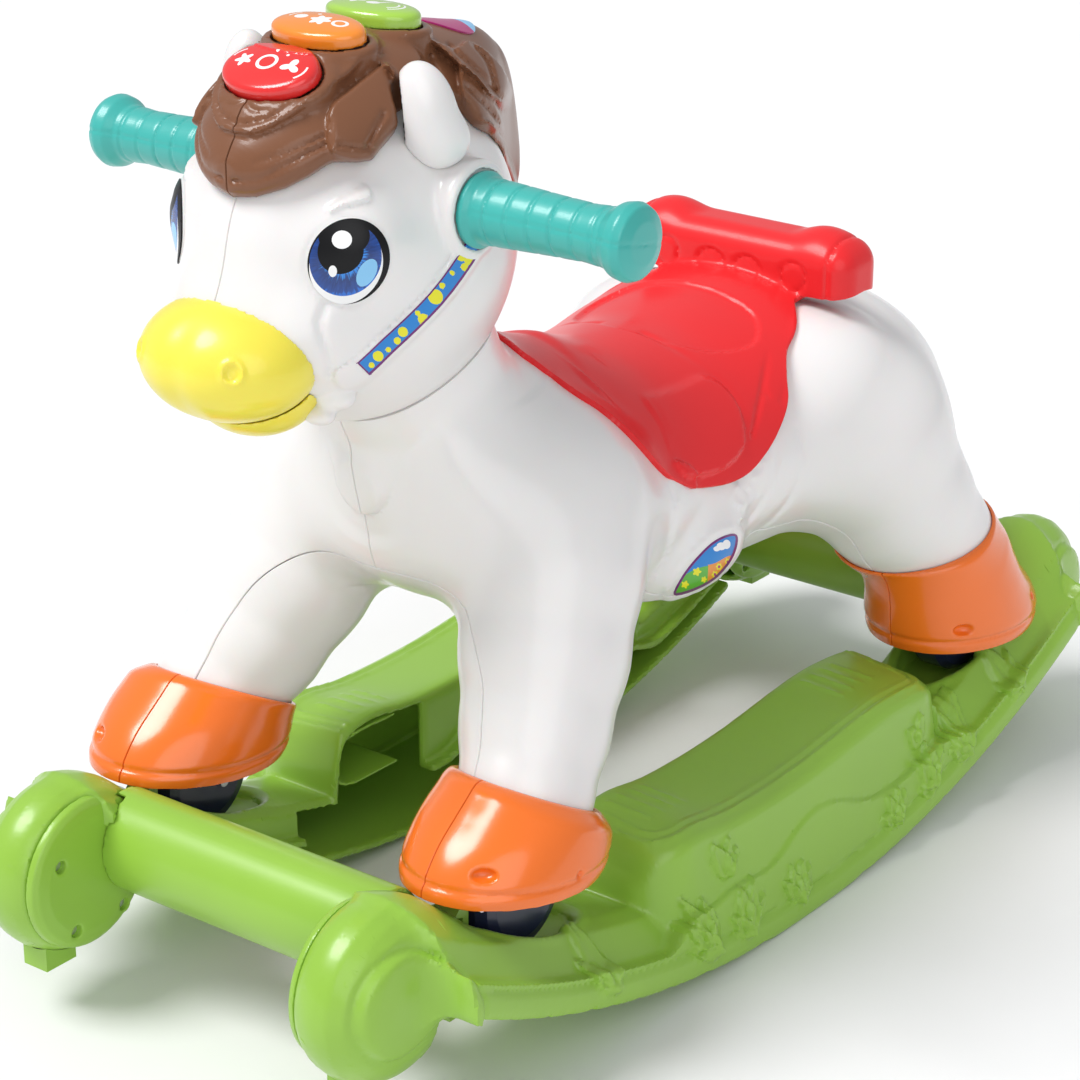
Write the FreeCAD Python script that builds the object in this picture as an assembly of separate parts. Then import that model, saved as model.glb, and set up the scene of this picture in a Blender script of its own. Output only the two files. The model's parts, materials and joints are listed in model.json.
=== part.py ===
import FreeCAD, Part
import math
import os

# Toddler's rocking horse: a plastic pony on four wheels that locks onto a rocker base.
# The pony faces -Y, its left side is +X, +Z is up. The origin is on the floor, midway
# along the base. All sizes are in millimetres.

V = FreeCAD.Vector

# ---- driving dimensions ----
WALL = 3.0                      # moulded wall thickness
FIT = 0.3                       # gap between moulded parts
SPAN = 400.0                    # half-size of the blocks that cut parts along a seam

ROCK_R = 626.0                  # radius of the rocking arc
RAIL_IN = 76.0                  # inner and outer faces of a rail
RAIL_OUT = 148.0
RAIL_H = 33.0                   # height of a rail above the rocking arc
RAIL_ANGLE = 26.0               # half the arc that the rails cover, degrees
SCROLL_Y = 297.0                # curled ends of the rails
SCROLL_Z = 73.0
SCROLL_R = 45.0
SCROLL_X = 87.0                 # seam between a scroll and its inner cover
BAR_Y = 268.0                   # cross bars
BAR_Z = 80.0
BAR_HALF = (23.0, 26.0)         # half depth and half height of a cross bar

WHEEL_R = 32.0
WHEEL_W = 26.0
WHEEL_Z = 86.0
AXLE_R = 3.0
AXLE_PLAY = 0.05
HOOF_X = 103.0
HOOF_Y = (-202.0, 214.0)        # front and rear
HOOF_SEAM = 98.0                # a hoof's halves meet here
CLIP_OUT = 36.5                 # from a wheel's axle to the clip in front of it
WELL_HALF = (22.0, 44.0)        # half-axes of the wells that the wheels stand in
HOOF_SCREW = (-46.0, 102.0)     # a hoof's screw: distance from the axle along Y, height
LUG = (15.5, 8.5, 7.0)          # lugs of an axle: distance from the wheel's middle, width, radius

HEAD_AT = V(0, -184, 384)
HEAD_HALF = (70.0, 88.0, 84.0)
SNOUT_AT = V(0, -238, 362)
SNOUT_HALF = (53.0, 52.0, 44.0)
MUZZLE_AT = V(0, -270, 349)
MUZZLE_HALF = (50.0, 50.0, 35.0)

BAR_AT = V(0, -178, 411)        # handlebar axis, along X
BAR_R = 7.0
GRIP_END = 163.0

BUTTON_TRAVEL = 3.0
BUTTON_SINK = 9.0               # thickness of a button's cap
BUTTON_WELL = 14.0              # depth of the well that it moves in
STEM_END = 16.5                 # depth of the stem's tip
BUTTONS = {                     # place of the top, tilt forward, half-axes
    "red_button": (V(0, -239, 480), 27.0, (25.5, 17.5)),
    "orange_button": (V(0, -205, 493), 8.0, (25.5, 14.5)),
    "green_button": (V(0, -166, 494), -3.0, (25.5, 16.0)),
}

BATTERY_Z = 169.0               # height of the cells' axes

# Trunk cross-sections along Y: y, height of the centre, half-width, half-height.
TRUNK = [
    (-178, 258, 30, 28), (-166, 256, 66, 48), (-138, 252, 88, 62), (-100, 244, 98, 70),
    (-50, 229, 91, 71), (0, 217, 84, 67), (50, 213, 88, 65), (100, 214, 97, 66),
    (150, 214, 103, 67), (200, 214, 97, 62), (238, 213, 72, 48), (254, 212, 34, 26),
]
# Paths of the neck and legs: x, y, z, radius.
NECK = [(0, -104, 250, 62), (0, -136, 285, 51), (0, -152, 318, 48), (0, -166, 352, 50)]
FRONT_LEG = [
    (60, -108, 244, 42), (72, -126, 214, 45), (82, -144, 181, 41), (91, -163, 151, 36),
    (100, -182, 127, 32), (104, -191, 115, 31),
]
REAR_LEG = [
    (58, 132, 232, 46), (74, 152, 204, 50), (88, 172, 166, 43), (97, 190, 141, 37),
    (105, 205, 121, 33), (107, 211, 112, 32),
]
# Saddle cross-sections: y, height of the top, half-width, half-height.
SADDLE = [
    (-74, 317, 62, 84), (-45, 304, 88, 80), (-10, 292, 92, 74), (40, 288, 96, 72),
    (85, 292, 104, 74), (118, 308, 108, 88), (150, 321, 106, 100), (176, 304, 100, 84),
    (196, 283, 96, 66),
]
# Level sections of a hoof: height, shift away from the toe, half-width, half-length.
HOOF = [
    (94, 0, 41, 53), (98, 0, 44, 56), (105, 0, 46, 58), (114, 2, 45, 57), (125, 9, 42, 52),
    (136, 16, 37, 44), (145, 21, 30, 34), (149, 23, 18, 20),
]
# Sections of the mane along Y: y, height of the centre, half-width, half-height.
MANE = [
    (-263, 434, 12, 11), (-252, 438, 34, 26), (-232, 437, 46, 38), (-205, 434, 53, 50),
    (-180, 433, 54, 52), (-155, 431, 50, 53), (-135, 429, 42, 54), (-115, 427, 33, 51),
    (-98, 424, 25, 50), (-84, 419, 18, 46), (-72, 413, 14, 38), (-61, 400, 10, 24),
]


# ---- building helpers ----
def mirrored(shape):
    return shape.mirror(V(0, 0, 0), V(1, 0, 0))


def fused(shapes):
    return shapes[0].multiFuse(shapes[1:]).removeSplitter() if len(shapes) > 1 else shapes[0]


def block(low, high):
    return Part.makeBox(high[0] - low[0], high[1] - low[1], high[2] - low[2], V(*low))


def left_half(shape, seam=0.0):
    return shape.common(block((seam, -SPAN, -SPAN), (SPAN, SPAN, 2 * SPAN)))


def right_half(shape, seam=0.0):
    return shape.common(block((-SPAN, -SPAN, -SPAN), (seam, SPAN, 2 * SPAN)))


def largest(shape):
    return max(shape.Solids, key=lambda solid: solid.Volume)


def group(shapes):
    return Part.makeCompound(shapes)


def ellipsoid(centre, half, grow=0.0):
    matrix = FreeCAD.Matrix()
    matrix.scale(half[0] + grow, half[1] + grow, half[2] + grow)
    matrix.move(centre)
    return Part.makeSphere(1.0).transformGeometry(matrix)


def oval_post(top, axis_tilt, half, depth, above=0.0):
    """Upright oval block under a point, tilted forward about X."""
    matrix = FreeCAD.Matrix()
    matrix.scale(half[0], half[1], depth + above)
    matrix.move(V(0, 0, -depth))
    matrix.rotateX(math.radians(axis_tilt))
    matrix.move(top)
    return Part.makeCylinder(1.0, 1.0).transformGeometry(matrix)


def rod(start, axis, length, radius):
    return Part.makeCylinder(radius, length, start, axis)


def ring(centre, u, v):
    """Closed smooth outline round a centre, through the ends of two half-axes."""
    count = 12
    points = []
    for i in range(count):
        angle = 2 * math.pi * i / count
        points.append(centre + u * math.cos(angle) + v * math.sin(angle))
    curve = Part.BSplineCurve()
    curve.interpolate(Points=points, PeriodicFlag=True)
    return Part.Wire([curve.toShape()])


def trunk_like(sections, grow=0.0):
    """Loft through upright oval sections: y, centre height, half-width, half-height."""
    wires = []
    for i, (y, z, half_w, half_h) in enumerate(sections):
        shift = -grow if i == 0 else grow if i == len(sections) - 1 else 0.0
        centre = V(0, y + shift, z)
        wires.append(ring(centre, V(half_w + grow, 0, 0), V(0, 0, half_h + grow)))
    return Part.makeLoft(wires, True, False)


def limb(path, grow=0.0, side=1):
    """Loft through round sections square to a path: x, y, z, radius."""
    centres = [V(side * x, y, z) for x, y, z, radius in path]
    wires = []
    for i, centre in enumerate(centres):
        along = centres[min(i + 1, len(path) - 1)] - centres[max(i - 1, 0)]
        along.normalize()
        across = V(1, 0, 0) - along * along.x
        across.normalize()
        radius = path[i][3] + grow
        wires.append(ring(centre, across * radius, along.cross(across) * radius))
    return Part.makeLoft(wires, True, False)


def side_outline(points, x_low, x_high):
    """Block along X with a given outline in the YZ plane."""
    wire = Part.makePolygon([V(x_low, y, z) for y, z in points + points[:1]])
    return Part.Face(wire).extrude(V(x_high - x_low, 0, 0))


def turned_x(profile, centre_y, centre_z, smooth=True):
    """Solid of revolution about an axis along X; profile holds x and radius."""
    rim = [V(x, centre_y, centre_z + r) for x, r in profile]
    if smooth:
        curve = Part.BSplineCurve()
        curve.interpolate(Points=rim)
        edges = [curve.toShape()]
    else:
        edges = Part.makePolygon(rim).Edges
    start = V(profile[0][0], centre_y, centre_z)
    end = V(profile[-1][0], centre_y, centre_z)
    if profile[-1][1] > 0:
        edges.append(Part.makeLine(rim[-1], end))
    edges.append(Part.makeLine(end, start))
    if profile[0][1] > 0:
        edges.append(Part.makeLine(start, rim[0]))
    face = Part.Face(Part.Wire(edges))
    return face.revolve(V(0, centre_y, centre_z), V(1, 0, 0), 360)


# ---- rocker base ----
def rail_sweep(section):
    """Rail stretch: a section (x, height above the arc) turned about the arc's centre."""
    wire = Part.makePolygon([V(x, 0, d) for x, d in section + section[:1]])
    face = Part.Face(wire)
    face.rotate(V(0, 0, ROCK_R), V(1, 0, 0), -RAIL_ANGLE)
    return face.revolve(V(0, 0, ROCK_R), V(1, 0, 0), 2 * RAIL_ANGLE)


FOOTREST = [(-120, 66), (-112, 80), (-90, 85), (-50, 80), (10, 80), (78, 86), (112, 86),
            (142, 81), (153, 66)]


def footrest_block(inset):
    top = [(y * (1 - inset / 130), z - inset) for y, z in FOOTREST]
    outline = [(top[0][0], 22)] + top + [(top[-1][0], 22)]
    body = side_outline(outline, RAIL_IN + inset, 136 - inset)
    slope = Part.Face(Part.makePolygon([
        V(128 - inset, -SPAN, 90), V(150, -SPAN, 90), V(150, -SPAN, 20), V(140 - inset, -SPAN, 20),
        V(128 - inset, -SPAN, 90)])).extrude(V(0, 2 * SPAN, 0))
    return body.cut(slope)


def scroll(end, inset):
    profile = [
        (SCROLL_X, SCROLL_R - 5 - inset), (93 - inset / 3, SCROLL_R - 1.5 - inset),
        (101, SCROLL_R - inset), (111 - inset / 3, SCROLL_R - 2 - inset),
        (120 - inset, SCROLL_R - 9 - inset / 2), (126 - inset, SCROLL_R - 20), (128 - inset, 14)]
    return turned_x(profile, end * SCROLL_Y, SCROLL_Z)


def wheel_well(y, grow, low):
    matrix = FreeCAD.Matrix()
    matrix.scale(WELL_HALF[0] + grow, WELL_HALF[1] + grow, 60)
    matrix.move(V(HOOF_X, y, low))
    return Part.makeCylinder(1.0, 1.0).transformGeometry(matrix)


def rail_plank(grow=0.0):
    """The rail without its footrest and scrolls, solid."""
    return rail_sweep([(RAIL_IN - grow, -grow), (146, -grow), (151 + grow, 3), (152 + grow, 8),
                       (148 + grow, 13 + grow), (142 + grow, 15 + grow), (129, 30 + grow),
                       (122, RAIL_H + grow), (80, RAIL_H + grow), (RAIL_IN - grow, 29 + grow)])


def make_rail():
    outer = rail_plank()
    inner = rail_sweep([(RAIL_IN + WALL, -2), (RAIL_OUT - WALL, -2), (RAIL_OUT - 1, 4), (147, 9),
                        (140, 12), (127, 27), (121, RAIL_H - WALL), (82, RAIL_H - WALL),
                        (RAIL_IN + WALL, 28)])
    seat_trim = block((0, -SPAN, 0), (SCROLL_X + FIT, -246, 200))
    outer_parts = [outer, footrest_block(0)]
    inner_parts = [inner, footrest_block(WALL)]
    shell = fused(outer_parts).cut(fused(inner_parts))
    shell = shell.cut(seat_trim).cut(seat_trim.mirror(V(0, 0, 0), V(0, 1, 0)))
    for y in HOOF_Y:
        cup = wheel_well(y, WALL, 46).common(outer)
        shell = fused([shell, cup]).cut(wheel_well(y, 0, 50))
    for end in (-1, 1):
        rim = scroll(end, 0).cut(scroll(end, WALL)).cut(inner)
        shell = shell.cut(scroll(end, 0.5 * WALL))
        shell = fused([shell, rim])
    for rib_y in (-60, 20, 100):
        rib = block((RAIL_IN + 1, rib_y - 1.2, 12), (128, rib_y + 1.2, 76))
        shell = fused([shell, rib.common(fused(outer_parts))])
    for end in (-1, 1):
        bar = cross_bar_solid(end, FIT)
        shell = shell.cut(bar)
    return largest(shell)


def cross_bar_solid(end, grow=0.0, hollow=False):
    depth, height = BAR_HALF
    inset = WALL if hollow else 0.0
    matrix = FreeCAD.Matrix()
    matrix.rotateY(math.radians(90))
    matrix.scale(1, depth + grow - inset, height + grow - inset)
    matrix.move(V(-SCROLL_X, end * BAR_Y, BAR_Z))
    return Part.makeCylinder(1.0, 2 * SCROLL_X).transformGeometry(matrix)


SCREW_SPOTS = [(-21, 12), (29, 12), (20, -26), (-13, -27)]     # from a scroll's centre


def scroll_cover(side, end):
    profile = [(80, 28), (81.5, 36), (84, 39), (SCROLL_X - FIT, SCROLL_R - 5)]
    cap = turned_x(profile, end * SCROLL_Y, SCROLL_Z)
    hollow = rod(V(83, end * SCROLL_Y, SCROLL_Z), V(1, 0, 0), 10, SCROLL_R - 9)
    cap = cap.cut(hollow)
    for dy, dz in SCREW_SPOTS:
        spot = V(SCROLL_X - FIT, end * (SCROLL_Y - dy), SCROLL_Z + dz)
        boss = rod(spot, V(-1, 0, 0), 6, 5).common(turned_x(profile, end * SCROLL_Y, SCROLL_Z))
        cap = fused([cap, boss]).cut(rod(spot, V(-1, 0, 0), 20, 3))
    return cap if side > 0 else mirrored(cap)


def screw(head, axis, length=8.0):
    shank = rod(head, axis, length, 1.3)
    return fused([rod(head - axis * 0.1, axis, 1.8, 2.6), shank])


def make_cover_screws():
    screws = []
    for end in (-1, 1):
        for dy, dz in SCREW_SPOTS:
            head = V(SCROLL_X - 3.5, end * (SCROLL_Y - dy), SCROLL_Z + dz)
            screws.append(screw(head, V(1, 0, 0), 3.2))
    return group(screws + [mirrored(item) for item in screws])


def make_stop_blocks():
    feet = []
    for end in (-1, 1):
        room = fused([rail_plank(), scroll(end, 0), cross_bar_solid(end, FIT)])
        foot = block((92, end * 311 - 10, 24), (108, end * 311 + 10, 40))
        heel = block((90, end * 237 - 7, 30), (102, end * 237 + 7, 52))
        feet += [largest(foot.cut(room)), largest(heel.cut(room))]
    return group(feet + [mirrored(foot) for foot in feet])


def make_hoof_clips():
    """Upright arms with a hooked end, which stand in each well and reach up into the hoof."""
    hook = [(-2, 50.2), (2, 50.2), (2, 87), (8, 89), (2, 96), (-2, 96)]
    arms = []
    for y in HOOF_Y:
        toe = math.copysign(1, y)
        outline = [(y + toe * (CLIP_OUT + dy), z) for dy, z in hook]
        arm = side_outline(outline, HOOF_X - 9, HOOF_X + 5)
        bay = rod(V(0, toe * SCROLL_Y, SCROLL_Z), V(1, 0, 0), SPAN, SCROLL_R + 1.0)
        arms.append(largest(arm.cut(bay)))
    return group(arms + [mirrored(arm) for arm in arms])


# ---- pony: trunk, legs and saddle ----
def legs(grow):
    shapes = []
    for path in (FRONT_LEG, REAR_LEG):
        for side in (1, -1):
            shapes.append(limb(path, grow, side))
    return shapes


def wheel_room(extra):
    rooms = []
    for y in HOOF_Y:
        for side in (1, -1):
            start = V(side * HOOF_X - WHEEL_W / 2 - extra, y, WHEEL_Z)
            rooms.append(rod(start, V(1, 0, 0), WHEEL_W + 2 * extra, WHEEL_R + extra))
    return rooms


def belly_arch():
    """Block under the seam that crosses the chest and runs down inside the legs."""
    half = [V(0, -SPAN, 215), V(40, -SPAN, 211), V(70, -SPAN, 196), V(86, -SPAN, 172),
            V(93, -SPAN, 140), V(95, -SPAN, 90)]
    other = [V(-p.x, p.y, p.z) for p in reversed(half[1:])]
    curve = Part.BSplineCurve()
    curve.interpolate(Points=other + half)
    base = Part.makeLine(half[-1], other[0])
    return Part.Face(Part.Wire([curve.toShape(), base])).extrude(V(0, 2 * SPAN, 0))


def saddle_lug(grow=0.0):
    """Knob on the back of the neck that the saddle's tip hooks under."""
    return ellipsoid(V(0, -80, 310), (9, 9, 9), grow)


def make_body(head_room):
    outer = fused([trunk_like(TRUNK), limb(NECK), saddle_lug()] + legs(0.0))
    inner = fused([trunk_like(TRUNK, -WALL), limb(NECK, -WALL)] + legs(-WALL))
    ends = [limb([path[-2][:3] + (path[-2][3] - 4,), extended(path)], 0.0, side)
            for path in (FRONT_LEG, REAR_LEG) for side in (1, -1)]
    shell = outer.cut(inner).cut(head_room)
    for cutter in ends + wheel_room(2.5):
        shell = shell.cut(cutter)
    arch = belly_arch()
    upper = shell.cut(arch)
    underbody = largest(shell.common(arch))
    return largest(left_half(upper)), largest(right_half(upper)), underbody


def extended(path):
    """Point beyond the end of a limb's path, for cutting its open end."""
    last, before = path[-1], path[-2]
    return tuple(2 * a - b for a, b in zip(last[:3], before[:3])) + (last[3] - 4,)


SADDLE_SIDE = [(-90, 345), (-87, 292), (-58, 254), (-34, 232), (-12, 228), (12, 236),
               (50, 256), (100, 270), (186, 272), (215, 300), (215, 345)]


def make_saddle():
    def blank(grow):
        rows = [(y, top - half_h, half_w, half_h) for y, top, half_w, half_h in SADDLE]
        return trunk_like(rows, grow)
    shell = blank(0.0).cut(blank(-WALL))
    room = fused([trunk_like(TRUNK, FIT), limb(NECK, FIT), saddle_lug(FIT)])
    shell = shell.common(side_outline(SADDLE_SIDE, -SPAN, SPAN)).cut(room)
    return largest(shell)


def make_badge():
    """Leaf-shaped plate on the pony's flank, in the trunk's own curve."""
    skin = trunk_like(TRUNK, 1.8).cut(trunk_like(TRUNK, 0.2))
    matrix = FreeCAD.Matrix()
    matrix.scale(1, 34, 19)
    matrix.rotateX(math.radians(20))
    matrix.move(V(40, 6, 183))
    leaf = Part.makeCylinder(1.0, 60.0, V(0, 0, 0), V(1, 0, 0)).transformGeometry(matrix)
    return largest(skin.common(leaf))


# ---- pony: hooves and wheels ----
def hoof_dome(y, grow=0.0):
    back = 1 if y < 0 else -1
    wires = []
    for i, (z, shift, half_w, half_l) in enumerate(HOOF):
        lift = -5.0 if i == 0 and grow < 0 else grow if i == len(HOOF) - 1 else 0.0
        centre = V(HOOF_X, y + back * shift, z + lift)
        wires.append(ring(centre, V(half_w + grow, 0, 0), V(0, half_l + grow, 0)))
    return Part.makeLoft(wires, True, False)


def axle_lug(y, side, dome):
    """Lug that hangs from the inside of a hoof and carries one end of the axle."""
    reach, width, radius = LUG
    start = HOOF_X + side * reach
    foot = rod(V(start, y, WHEEL_Z), V(side, 0, 0), width, radius)
    ends = sorted((start, start + side * width))
    web = block((ends[0], y - radius, WHEEL_Z), (ends[1], y + radius, HOOF[-1][0] - 1))
    low = block((ends[0], y - radius, WHEEL_Z), (ends[1], y + radius, HOOF[0][0] + 2))
    return fused([foot, low, web.common(dome)])


def make_hoof(y):
    """One hoof, hollow and open below, with bosses for the axle. Returns both halves."""
    path = FRONT_LEG if y < 0 else REAR_LEG
    dome = hoof_dome(y)
    shell = dome.cut(hoof_dome(y, -WALL))
    for side in (-1, 1):
        shell = fused([shell, axle_lug(y, side, dome)])
    screw_y, screw_z = y + HOOF_SCREW[0], HOOF_SCREW[1]
    boss = rod(V(84, screw_y, screw_z), V(1, 0, 0), 60, 5)
    shell = fused([shell, boss.common(dome)])
    shell = shell.cut(rod(V(91, screw_y, screw_z), V(1, 0, 0), 80, 1.5))
    shell = shell.cut(rod(V(124, screw_y, screw_z), V(1, 0, 0), 40, 3.2))
    shell = shell.cut(limb(path, FIT)).cut(limb([path[-1], extended(path)], 0.0))
    shell = shell.cut(rod(V(0, y, WHEEL_Z), V(1, 0, 0), SPAN, AXLE_R))
    end = math.copysign(1, y)
    lid_room = rod(V(79.5, end * SCROLL_Y, SCROLL_Z), V(1, 0, 0), 8, SCROLL_R - 5 + FIT)
    for cutter in (rail_plank(FIT), scroll(end, -FIT), cross_bar_solid(end, FIT), lid_room):
        shell = shell.cut(cutter)
    return largest(left_half(shell, HOOF_SEAM)), largest(right_half(shell, HOOF_SEAM))


def make_hoof_screws():
    """The long screws that hold the halves of each hoof together."""
    screws = []
    for y in HOOF_Y:
        head = V(126, y + HOOF_SCREW[0], HOOF_SCREW[1])
        screws.append(screw(head, V(-1, 0, 0), 34.0))
    return group(screws + [mirrored(item) for item in screws])


def make_wheel(y):
    half = WHEEL_W / 2
    profile = [(HOOF_X - half, 8), (HOOF_X - half, 23), (HOOF_X - half + 1.5, 28.5),
               (HOOF_X - half + 6, WHEEL_R), (HOOF_X + half - 6, WHEEL_R),
               (HOOF_X + half - 1.5, 28.5), (HOOF_X + half, 23), (HOOF_X + half, 8)]
    wheel = turned_x(profile, y, WHEEL_Z, smooth=False)
    return wheel.cut(rod(V(0, y, WHEEL_Z), V(1, 0, 0), SPAN, AXLE_R + AXLE_PLAY))


def make_axles():
    shafts = []
    for y in HOOF_Y:
        shafts.append(rod(V(HOOF_X - 23, y, WHEEL_Z), V(1, 0, 0), 46, AXLE_R))
    return group(shafts + [mirrored(shaft) for shaft in shafts])


# ---- pony: head ----
def head_solid(grow=0.0):
    return fused([ellipsoid(HEAD_AT, HEAD_HALF, grow), ellipsoid(SNOUT_AT, SNOUT_HALF, grow)])


def grip_profile():
    return [(71, 8), (71, 17.5), (74, 18), (77, 15.2), (95, 14.8), (115, 13.8), (135, 13.2),
            (147, 14.2), (152, 17.3), (157, 18.2), (161, 16.5), (GRIP_END, 8)]


def make_grip():
    solid = turned_x(grip_profile(), BAR_AT.y, BAR_AT.z, smooth=False)
    for x in (88, 101, 114, 127, 140):
        groove = rod(V(x - 0.8, BAR_AT.y, BAR_AT.z), V(1, 0, 0), 1.6, 20)
        core = rod(V(x - 0.8, BAR_AT.y, BAR_AT.z), V(1, 0, 0), 1.6, 12.6)
        solid = solid.cut(groove.cut(core))
    return solid.cut(rod(V(60, BAR_AT.y, BAR_AT.z), V(1, 0, 0), 92, BAR_R + 0.1))


def make_head():
    shell = head_solid().cut(head_solid(-WALL))
    collar = rod(V(55, BAR_AT.y, BAR_AT.z), V(1, 0, 0), 15.5, 21)
    shell = fused([shell, collar.cut(head_solid(-WALL)), mirrored(collar.cut(head_solid(-WALL)))])
    shell = shell.cut(rod(V(-SPAN, BAR_AT.y, BAR_AT.z), V(1, 0, 0), 2 * SPAN, BAR_R))
    neck_hole = rod(V(0, -160, 250), V(0, 0, 1), 90, 34)
    shell = shell.cut(neck_hole)
    wiring_hole = rod(V(0, -180, 440), V(0, 0, 1), 60, 9)
    shell = shell.cut(wiring_hole)
    room = fused([head_solid(FIT), collar, mirrored(collar)])
    return largest(left_half(shell)), largest(right_half(shell)), room


def make_muzzle(head_room):
    cap = ellipsoid(MUZZLE_AT, MUZZLE_HALF).cut(ellipsoid(MUZZLE_AT, MUZZLE_HALF, -WALL))
    cap = cap.cut(head_room)
    lip_block = block((-60, -330, 290), (60, -180, 322))
    return largest(cap.cut(lip_block))


def make_lip(head_room):
    body = ellipsoid(V(0, -266, 331), (43, 44, 22)).cut(ellipsoid(V(0, -266, 331), (40, 41, 19)))
    body = body.common(block((-60, -330, 290), (60, -180, 321.7)))
    return largest(body.cut(head_room))


def make_mane(head_room, ear_room):
    solid = trunk_like(MANE)
    flank = Part.Face(Part.makePolygon([
        V(0, -290, 380), V(0, -290, 424), V(0, -250, 424), V(0, -215, 440), V(0, -180, 444),
        V(0, -140, 420), V(0, -100, 392), V(0, -40, 380), V(0, -290, 380)])).extrude(V(90, 0, 0))
    solid = solid.cut(flank).cut(mirrored(flank)).cut(head_room)
    for shape in ear_room:
        solid = solid.cut(shape)
    solid = largest(solid)
    for top, tilt, half in BUTTONS.values():
        well = oval_post(top, tilt, (half[0] + 0.5, half[1] + 0.5), BUTTON_WELL, 30)
        solid = solid.cut(well)
        stem = oval_post(top, tilt, (5.5, 5.5), 40)
        solid = solid.cut(stem)
    return largest(left_half(solid)), largest(right_half(solid))


def make_mane_plate():
    """Printed plate on the mane behind the buttons."""
    skin = trunk_like(MANE, 1.2).cut(trunk_like(MANE, 0.2))
    return largest(skin.common(block((-20, -137, 440), (20, -90, 500))))


def make_circuit_board():
    board = block((-24, -216, 437), (24, -150, 438.6))
    chips = [block((-9, -205, 438.6), (9, -189, 440.6)), block((-6, -176, 438.6), (6, -166, 440.2))]
    return fused([board] + chips)


def pressed_way(tilt):
    """The direction in which a button with a given forward tilt goes down."""
    return V(0, math.sin(math.radians(tilt)), -math.cos(math.radians(tilt)))


def make_button(name):
    """Cap with a domed top and a stem that reaches the switch under it."""
    top, tilt, half = BUTTONS[name]
    cap = oval_post(top, tilt, half, BUTTON_SINK)
    dome = ellipsoid(V(0, 0, -BUTTON_SINK), (half[0] + 4, half[1] + 4, BUTTON_SINK + 0.5))
    dome.rotate(V(0, 0, 0), V(1, 0, 0), tilt)
    dome.translate(top)
    down = pressed_way(tilt)
    stem = rod(top + down * (BUTTON_SINK - 0.5), down, STEM_END - BUTTON_SINK + 0.5, 4.5)
    return fused([cap.common(dome), stem])


EAR_PATH = [(47, -182, 438, 12), (50, -190, 450, 15), (51, -196, 462, 15), (51, -199, 472, 9)]


def make_ear(side, head_room):
    path = limb(EAR_PATH, 0.0, side)
    dish = ellipsoid(V(side * 40, -205, 461), (9, 12, 14))
    ear = path.cut(head_room).cut(dish)
    insert = dish.common(limb(EAR_PATH, -0.2, side)).cut(head_room)
    recess = ellipsoid(V(side * 38, -208, 462), (9, 12, 14))
    return largest(ear), largest(insert.cut(recess))


def make_eye(side):
    centre = V(side * 49, -245, 400)
    look = V(side * 49.0 / HEAD_HALF[0] ** 2, -61.0 / HEAD_HALF[1] ** 2, 16.0 / HEAD_HALF[2] ** 2)
    look.normalize()
    disc = Part.makeCylinder(1.0, 24.0)
    matrix = FreeCAD.Matrix()
    matrix.scale(18.5, 21.5, 1)
    disc = disc.transformGeometry(matrix)
    turn = FreeCAD.Rotation(V(1, 0, 0), V(0, 0, 1).cross(look), look, "ZXY")
    disc.Placement = FreeCAD.Placement(centre - look * 12, turn)
    skin = head_solid(1.2).cut(head_solid(0.2))
    return largest(skin.common(disc))


def make_bridle_label(side):
    """Narrow printed strip down the cheek, from below the grip to the corner of the mouth."""
    outline = [(-176, 398), (-186, 401), (-236, 349), (-229, 340)]
    strip = side_outline(outline, 20, 90)
    skin = head_solid(1.0).cut(head_solid(0.2))
    collar_room = rod(V(50, BAR_AT.y, BAR_AT.z), V(1, 0, 0), 30, 21 + FIT)
    label = largest(skin.common(strip).cut(collar_room))
    return label if side > 0 else mirrored(label)


# ---- pony: inner pieces ----
def make_battery_box():
    box = block((-32, 40, BATTERY_Z - 10), (32, 108, BATTERY_Z + 12))
    for x in (-20, 0, 20):
        box = box.cut(rod(V(x, 45, BATTERY_Z), V(0, 1, 0), 58, 7.8))
        box = box.cut(block((x - 7.8, 45, BATTERY_Z - 20), (x + 7.8, 103, BATTERY_Z)))
    return box


def make_batteries():
    cells = []
    for x in (-20, 0, 20):
        cell = rod(V(x, 49, BATTERY_Z), V(0, 1, 0), 50, 7.1)
        cells.append(fused([cell, rod(V(x, 99, BATTERY_Z), V(0, 1, 0), 2, 2.5)]))
    return group(cells)


def make_speaker():
    cone = Part.makeCone(20, 12, 12, V(0, -150, 250), V(0, 1, 0))
    return fused([cone, rod(V(0, -138, 250), V(0, 1, 0), 8, 12)])


def make_switches(head_room):
    """A tactile switch on the head's crown under each button's stem."""
    depth = STEM_END + BUTTON_TRAVEL + 0.3
    switches = []
    for top, tilt, _ in BUTTONS.values():
        down = pressed_way(tilt)
        switches.append(largest(rod(top + down * depth, down, 3.0, 3.2).cut(head_room)))
    return group(switches)


def make_springs():
    """Return springs at their pressed height, on the floor of each button's well."""
    coils = []
    for top, tilt, _ in BUTTONS.values():
        down = pressed_way(tilt)
        for turn in range(2):
            centre = top + down * (BUTTON_WELL - 0.5 - 0.9 * turn)
            coils.append(Part.makeTorus(7.5, 0.4, centre, down))
    return group(coils)


def export(name, shape):
    shape.exportStep("parts/" + name + ".step")
    print(name, len(shape.Solids), round(shape.Volume / 1000, 1), "cm3", shape.isValid())


def export_pair(name, left_shape):
    export(name + "_left", left_shape)
    export(name + "_right", mirrored(left_shape))


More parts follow.
